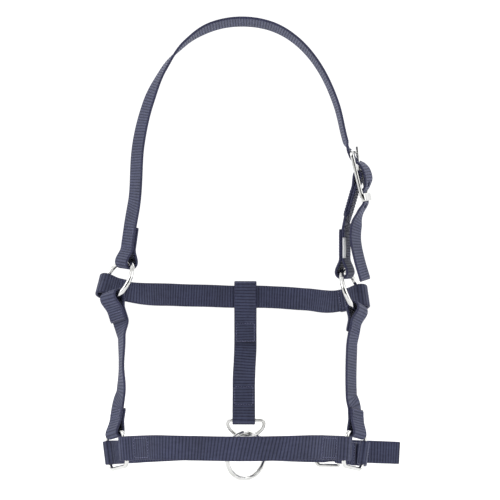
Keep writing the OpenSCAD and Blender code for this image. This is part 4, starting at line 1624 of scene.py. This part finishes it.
@dataclass(frozen=True)
class ThroatAndJaw:
    """Throat strap between the upper rings, and the jaw strap that hangs from it."""

    rings: Rings
    throat_back: float = 55.0
    jaw_ease: float = 1.0
    jaw_aside: float = 2.3
    sewn: float = 24.0

    @property
    def throat_seams(self) -> list:
        """Loops of the throat strap on the two rings."""
        r = self.rings
        right = r.ring_bar(r.right, 200).flipped().askew(vec(-0.1, 0.38, 0.92))
        return [Seam(r.ring_bar(r.left, 200).flipped(), vec(0.98, 0.06, -0.21), back=self.sewn),
                Seam(right, vec(-0.95, 0.25, -0.1), back=self.sewn)]

    @property
    def throat_mid(self) -> np.ndarray:
        """Middle of the throat strap."""
        left, right = self.throat_seams
        z = (left.bar.point[2] + right.bar.point[2]) / 2 - 7
        return vec(3.4, self.throat_back, z)

    @property
    def jaw_seams(self) -> list:
        """Loops of the jaw strap round the throat strap and on the dee."""
        tall = WEB.wide + self.jaw_ease
        top = Bar(self.throat_mid - UP * tall / 2, ACROSS, WEB.thick / 2)
        dee = Bar(self.rings.dee.centre - ACROSS * self.jaw_aside, ACROSS,
                  self.rings.dee_wire / 2)
        return [Seam(top, vec(0, 0, -1), tall=tall), Seam(dee, vec(0, 0.3, 1))]

    def build(self, shop: Workshop) -> None:
        """Makes the throat strap and the jaw strap.

        Args:
            shop: Dresses and places the pieces.
        """
        left, right = self.throat_seams
        m = self.throat_mid
        knots = [(vec(-72, self.throat_back - 9, m[2] + 2.2), UP), (m + vec(-40, -0.7, 1), UP),
                 (m + vec(-15, 0, 0), UP), (m + vec(15, 0, 0), UP),
                 (m + vec(40, -0.7, -1), UP), (vec(70, self.throat_back - 9, m[2] - 2.6), UP)]
        shop.strap("throat_webbing", "throat_strap", strap_between(left, right, knots),
                   Mood(seed=31, first_rib=2.9, last_rib=3.2), Body.ROOT)
        shop.sewing("throat_threads", "throat_stitching", [left, right], Body.ROOT)
        top, foot = self.jaw_seams
        bend = (top.bar.point - UP * 4, foot.bar.point + UP * WEB.sewn)
        shop.strap("jaw_webbing", "jaw_strap", strap_between(top, foot, []),
                   Mood(seed=37, first_rib=3.2, last_rib=3.6), bend=bend)
        shop.sewing("jaw_threads", "jaw_stitching", [top, foot], bend=bend)


@dataclass(frozen=True)
class Cheeks:
    """The two cheek straps, from the upper rings to the squares."""

    rings: Rings
    sewn: float = 26.0
    left_knots: tuple = ((0.3, 9.2, (0.33, -0.944, 0)), (0.5, 8.3, (0.24, -0.971, 0)),
                         (0.7, 7.3, (0.4, -0.917, 0)))
    right_knots: tuple = ((0.3, -5.6, (-0.48, -0.877, 0)), (0.7, -5.8, (-0.48, -0.877, 0)))

    def build(self, shop: Workshop) -> None:
        """Makes both cheek straps.

        Args:
            shop: Dresses and places the pieces.
        """
        r = self.rings
        sides = [("left", r.left, r.left_square, vec(0.35, -0.1, -0.93), vec(0.25, 0.15, 0.96),
                  self.left_knots, 41),
                 ("right", r.right, r.right_square, vec(-0.15, -0.1, -1), vec(-0.14, 0.15, 1),
                  self.right_knots, 43)]
        for side, ring, square, leave, reach, knots, seed in sides:
            top = Seam(r.ring_bar(ring, 287), leave, back=self.sewn)
            foot = Seam(r.top_bar(square), reach, back=self.sewn)
            line = strap_between(top, foot, [
                (mix(top.bar.point, foot.bar.point, share) + vec(inwards, 0, 0), vec(*face))
                for share, inwards, face in knots])
            bend = (top.bar.point, foot.bar.point + UP * self.sewn)
            shop.strap(f"{side}_cheek_webbing", f"{side}_cheek_strap", line, Mood(seed=seed),
                       bend=bend)
            shop.sewing(f"{side}_cheek_threads", f"{side}_cheek_stitching", [top, foot],
                        bend=bend)


@dataclass(frozen=True)
class NoseAndChin:
    """Noseband, and the chin strap with its buckle and chape."""

    rings: Rings
    nose_bow: float = 62.0
    nose_lift: float = 10.5
    tail: float = 68.0
    chape_sewn: float = 23.0
    hole: float = 6.4
    hole_pitch: float = 25.0
    spare_holes: int = 1

    @property
    def buckle(self) -> Buckle:
        """The chin buckle."""
        return Buckle(vec(107, self.rings.chin_y - 2, self.rings.chin_z - 2),
                      vec(1, 0.02, -0.05), vec(0, 1, 0), False)

    def build(self, shop: Workshop) -> None:
        """Makes the noseband, the chin strap, its chape and the buckle.

        Args:
            shop: Dresses and places the pieces.
        """
        self.build_noseband(shop)
        self.build_chin(shop)

    def build_noseband(self, shop: Workshop) -> None:
        """Makes the noseband.

        Args:
            shop: Dresses and places the pieces.
        """
        r = self.rings
        left, right = (Seam(r.front_bar(s).askew(r.front_bar(s).along + UP), away, side)
                       for s, away, side in ((r.left_square, vec(0.75, -0.66, 0), -1),
                                             (r.right_square, vec(-0.75, -0.66, 0), 1)))
        y, z = -r.cheek_lead - self.nose_bow, r.square_z + self.nose_lift
        knots = [(vec(-50, y + 5, z), UP), (vec(0, y, z), UP), (vec(44, y + 5, z), UP)]
        shop.strap("nose_webbing", "noseband", strap_between(left, right, knots),
                   Mood(seed=53, first_rib=2.95, last_rib=4.0, lean=0.24, lean_at=0.56),
                   Body.HOOP)
        shop.sewing("nose_threads", "noseband_stitching", [left, right], Body.HOOP)

    def build_chin(self, shop: Workshop) -> None:
        """Makes the chin strap, its chape and the buckle.

        Args:
            shop: Dresses and places the pieces.
        """
        r, b = self.rings, self.buckle
        y, z = r.chin_y, r.chin_z
        seam = Seam(r.back_bar(r.left_square), vec(0.55, 0.83, 0))
        knots = [(vec(-62, y - 4, z + 1), UP), (vec(r.hang_x - 26, y, z), UP),
                 (vec(r.hang_x + 26, y, z), UP), *b.threaded(),
                 (b.at(0.45 * self.tail, b.over_bar + 1), -b.across),
                 (b.at(self.tail, b.over_bar + 3), -b.across)]
        line = strap_to_cut(seam, knots, b.down)
        plain = Skin("plan")
        mood = Mood(seed=61)
        rows = weave(plain, line, mood)
        spots = punch_places(rows, b.at(-10, b.rest / 2), self.hole_pitch, self.spare_holes)
        shop.strap("chin_webbing", "chin_strap", line, mood, Body.HOOP,
                   punches=hole_cuts(b, spots, self.hole))
        trim = Skin("chin_hole_rims")
        rims(trim, spots, self.hole / 2)
        shop.finish(trim.build(), Slot.WEBBING, (), Body.HOOP)
        shop.sewing("chin_threads", "chin_stitching", [seam], Body.HOOP)
        top = Seam(b.bar, vec(0.8, -0.6, 0), back=self.chape_sewn)
        foot = Seam(r.back_bar(r.right_square), vec(0.2, 0.98, 0), -1, self.chape_sewn)
        shop.strap("chin_chape_webbing", "chin_chape", strap_between(top, foot, []),
                   Mood(seed=67), Body.HOOP, punches=eye_cut(b))
        shop.sewing("chin_chape_threads", "chin_chape_stitching", [top, foot], Body.HOOP)
        b.build_frame(shop, "chin_buckle_wire", Body.HOOP, "chin_buckle_frame")
        b.build_tongue(shop, "chin_buckle_pin", Body.CHIN_TONGUE, "chin_buckle_tongue")


# ---------- studio ----------


@dataclass(frozen=True)
class Studio:
    """Camera, white floor, soft lights and a bright room with a dim side behind the camera."""

    camera: tuple = (0.0085, -1.497, -0.2438)
    focal_length: float = 100.4
    floor_z: float = -0.58
    floor_size: float = 9.0
    room: float = 1.12
    dim: float = 0.02

    def build(self) -> None:
        """Makes the whole studio."""
        scene = bpy.context.scene
        scene.view_settings.view_transform = "Standard"
        self.build_camera()
        self.build_floor()
        self.build_world()
        self.light("key", (-1.7, -0.9, 0.9), (0, 0, -0.25), 1.6, 17.0)
        self.light("fill", (1.9, -0.5, 0.5), (0, 0, -0.25), 1.6, 11.0)
        self.light("back", (0.0, 1.8, 1.2), (0, 0, -0.25), 2.0, 12.0)

    def build_camera(self) -> None:
        """Makes the camera, level and looking along Y."""
        data = bpy.data.cameras.new("camera")
        data.lens, data.sensor_width = self.focal_length, 36.0
        data.clip_start, data.clip_end = 0.05, 60.0
        thing = bpy.data.objects.new("camera", data)
        thing.location = self.camera
        thing.rotation_euler = (np.pi / 2, 0, 0)
        bpy.context.scene.collection.objects.link(thing)
        bpy.context.scene.camera = thing

    def build_floor(self) -> None:
        """Makes the floor: a disc whose height is the same all over."""
        r = np.linspace(0.001, 1, 12)[:, None] * self.floor_size
        a = np.linspace(2 * np.pi, 0, 65)[None, :]
        grid = np.stack([r * np.cos(a), r * np.sin(a), np.full((12, 65), self.floor_z)], axis=-1)
        skin = Skin("floor")
        skin.wrap(grid / MM, sheet=True)
        thing = skin.build()
        material, _, shader = fresh_material("white_floor", Roughness=0.8)
        shader.inputs["Base Color"].default_value = (1.0, 1.0, 1.0, 1)
        thing.data.materials.append(material)

    def build_world(self) -> None:
        """Makes the room: white, but dim round the direction from the object to the camera.

        The dim side is worked out from the dot product of a ray's direction with that
        direction, and what the camera itself sees stays white.
        """
        world = bpy.data.worlds.new("room")
        bpy.context.scene.world = world
        world.use_nodes = True
        n = Nodes(world.node_tree)
        n.tree.nodes.clear()
        way = n.add("TexCoord").outputs["Generated"]
        split = n.add("SeparateXYZ", {0: way})
        towards = n.maths("MULTIPLY", split.outputs[1], -1.0)
        dark = n.add("MapRange", {"Value": towards, "From Min": 0.62, "From Max": 0.86},
                     interpolation_type="SMOOTHSTEP").outputs[0]
        seen = n.add("LightPath").outputs["Is Camera Ray"]
        share = n.maths("MULTIPLY", dark, n.maths("SUBTRACT", 1.0, seen))
        colour = n.blend(share, (1, 1, 1, 1), (self.dim, self.dim, self.dim, 1))
        back = n.add("Background", {"Color": colour, "Strength": self.room})
        out = n.add("OutputWorld")
        n.tree.links.new(back.outputs[0], out.inputs[0])

    def light(self, name: str, place: tuple, target: tuple, size: float, power: float) -> None:
        """Adds a square area light.

        Args:
            name: Name of the light.
            place: Where it stands, in metres.
            target: What it is turned to.
            size: Its side in metres.
            power: Its power in watts.
        """
        data = bpy.data.lights.new(name, "AREA")
        data.size, data.energy = size, power
        thing = bpy.data.objects.new(name, data)
        thing.location = place
        aim = Vector(target) - Vector(place)
        thing.rotation_euler = aim.to_track_quat("-Z", "Y").to_euler()
        bpy.context.scene.collection.objects.link(thing)


def main() -> None:
    """Builds the studio and the halter, part by part."""
    logging.basicConfig(level=logging.INFO)
    Studio().build()
    shop = Workshop()
    rings = Rings()
    rings.build(shop)
    for part in (Headpiece(rings), ThroatAndJaw(rings), Cheeks(rings), NoseAndChin(rings)):
        part.build(shop)


if __name__ == "__main__":
    main()
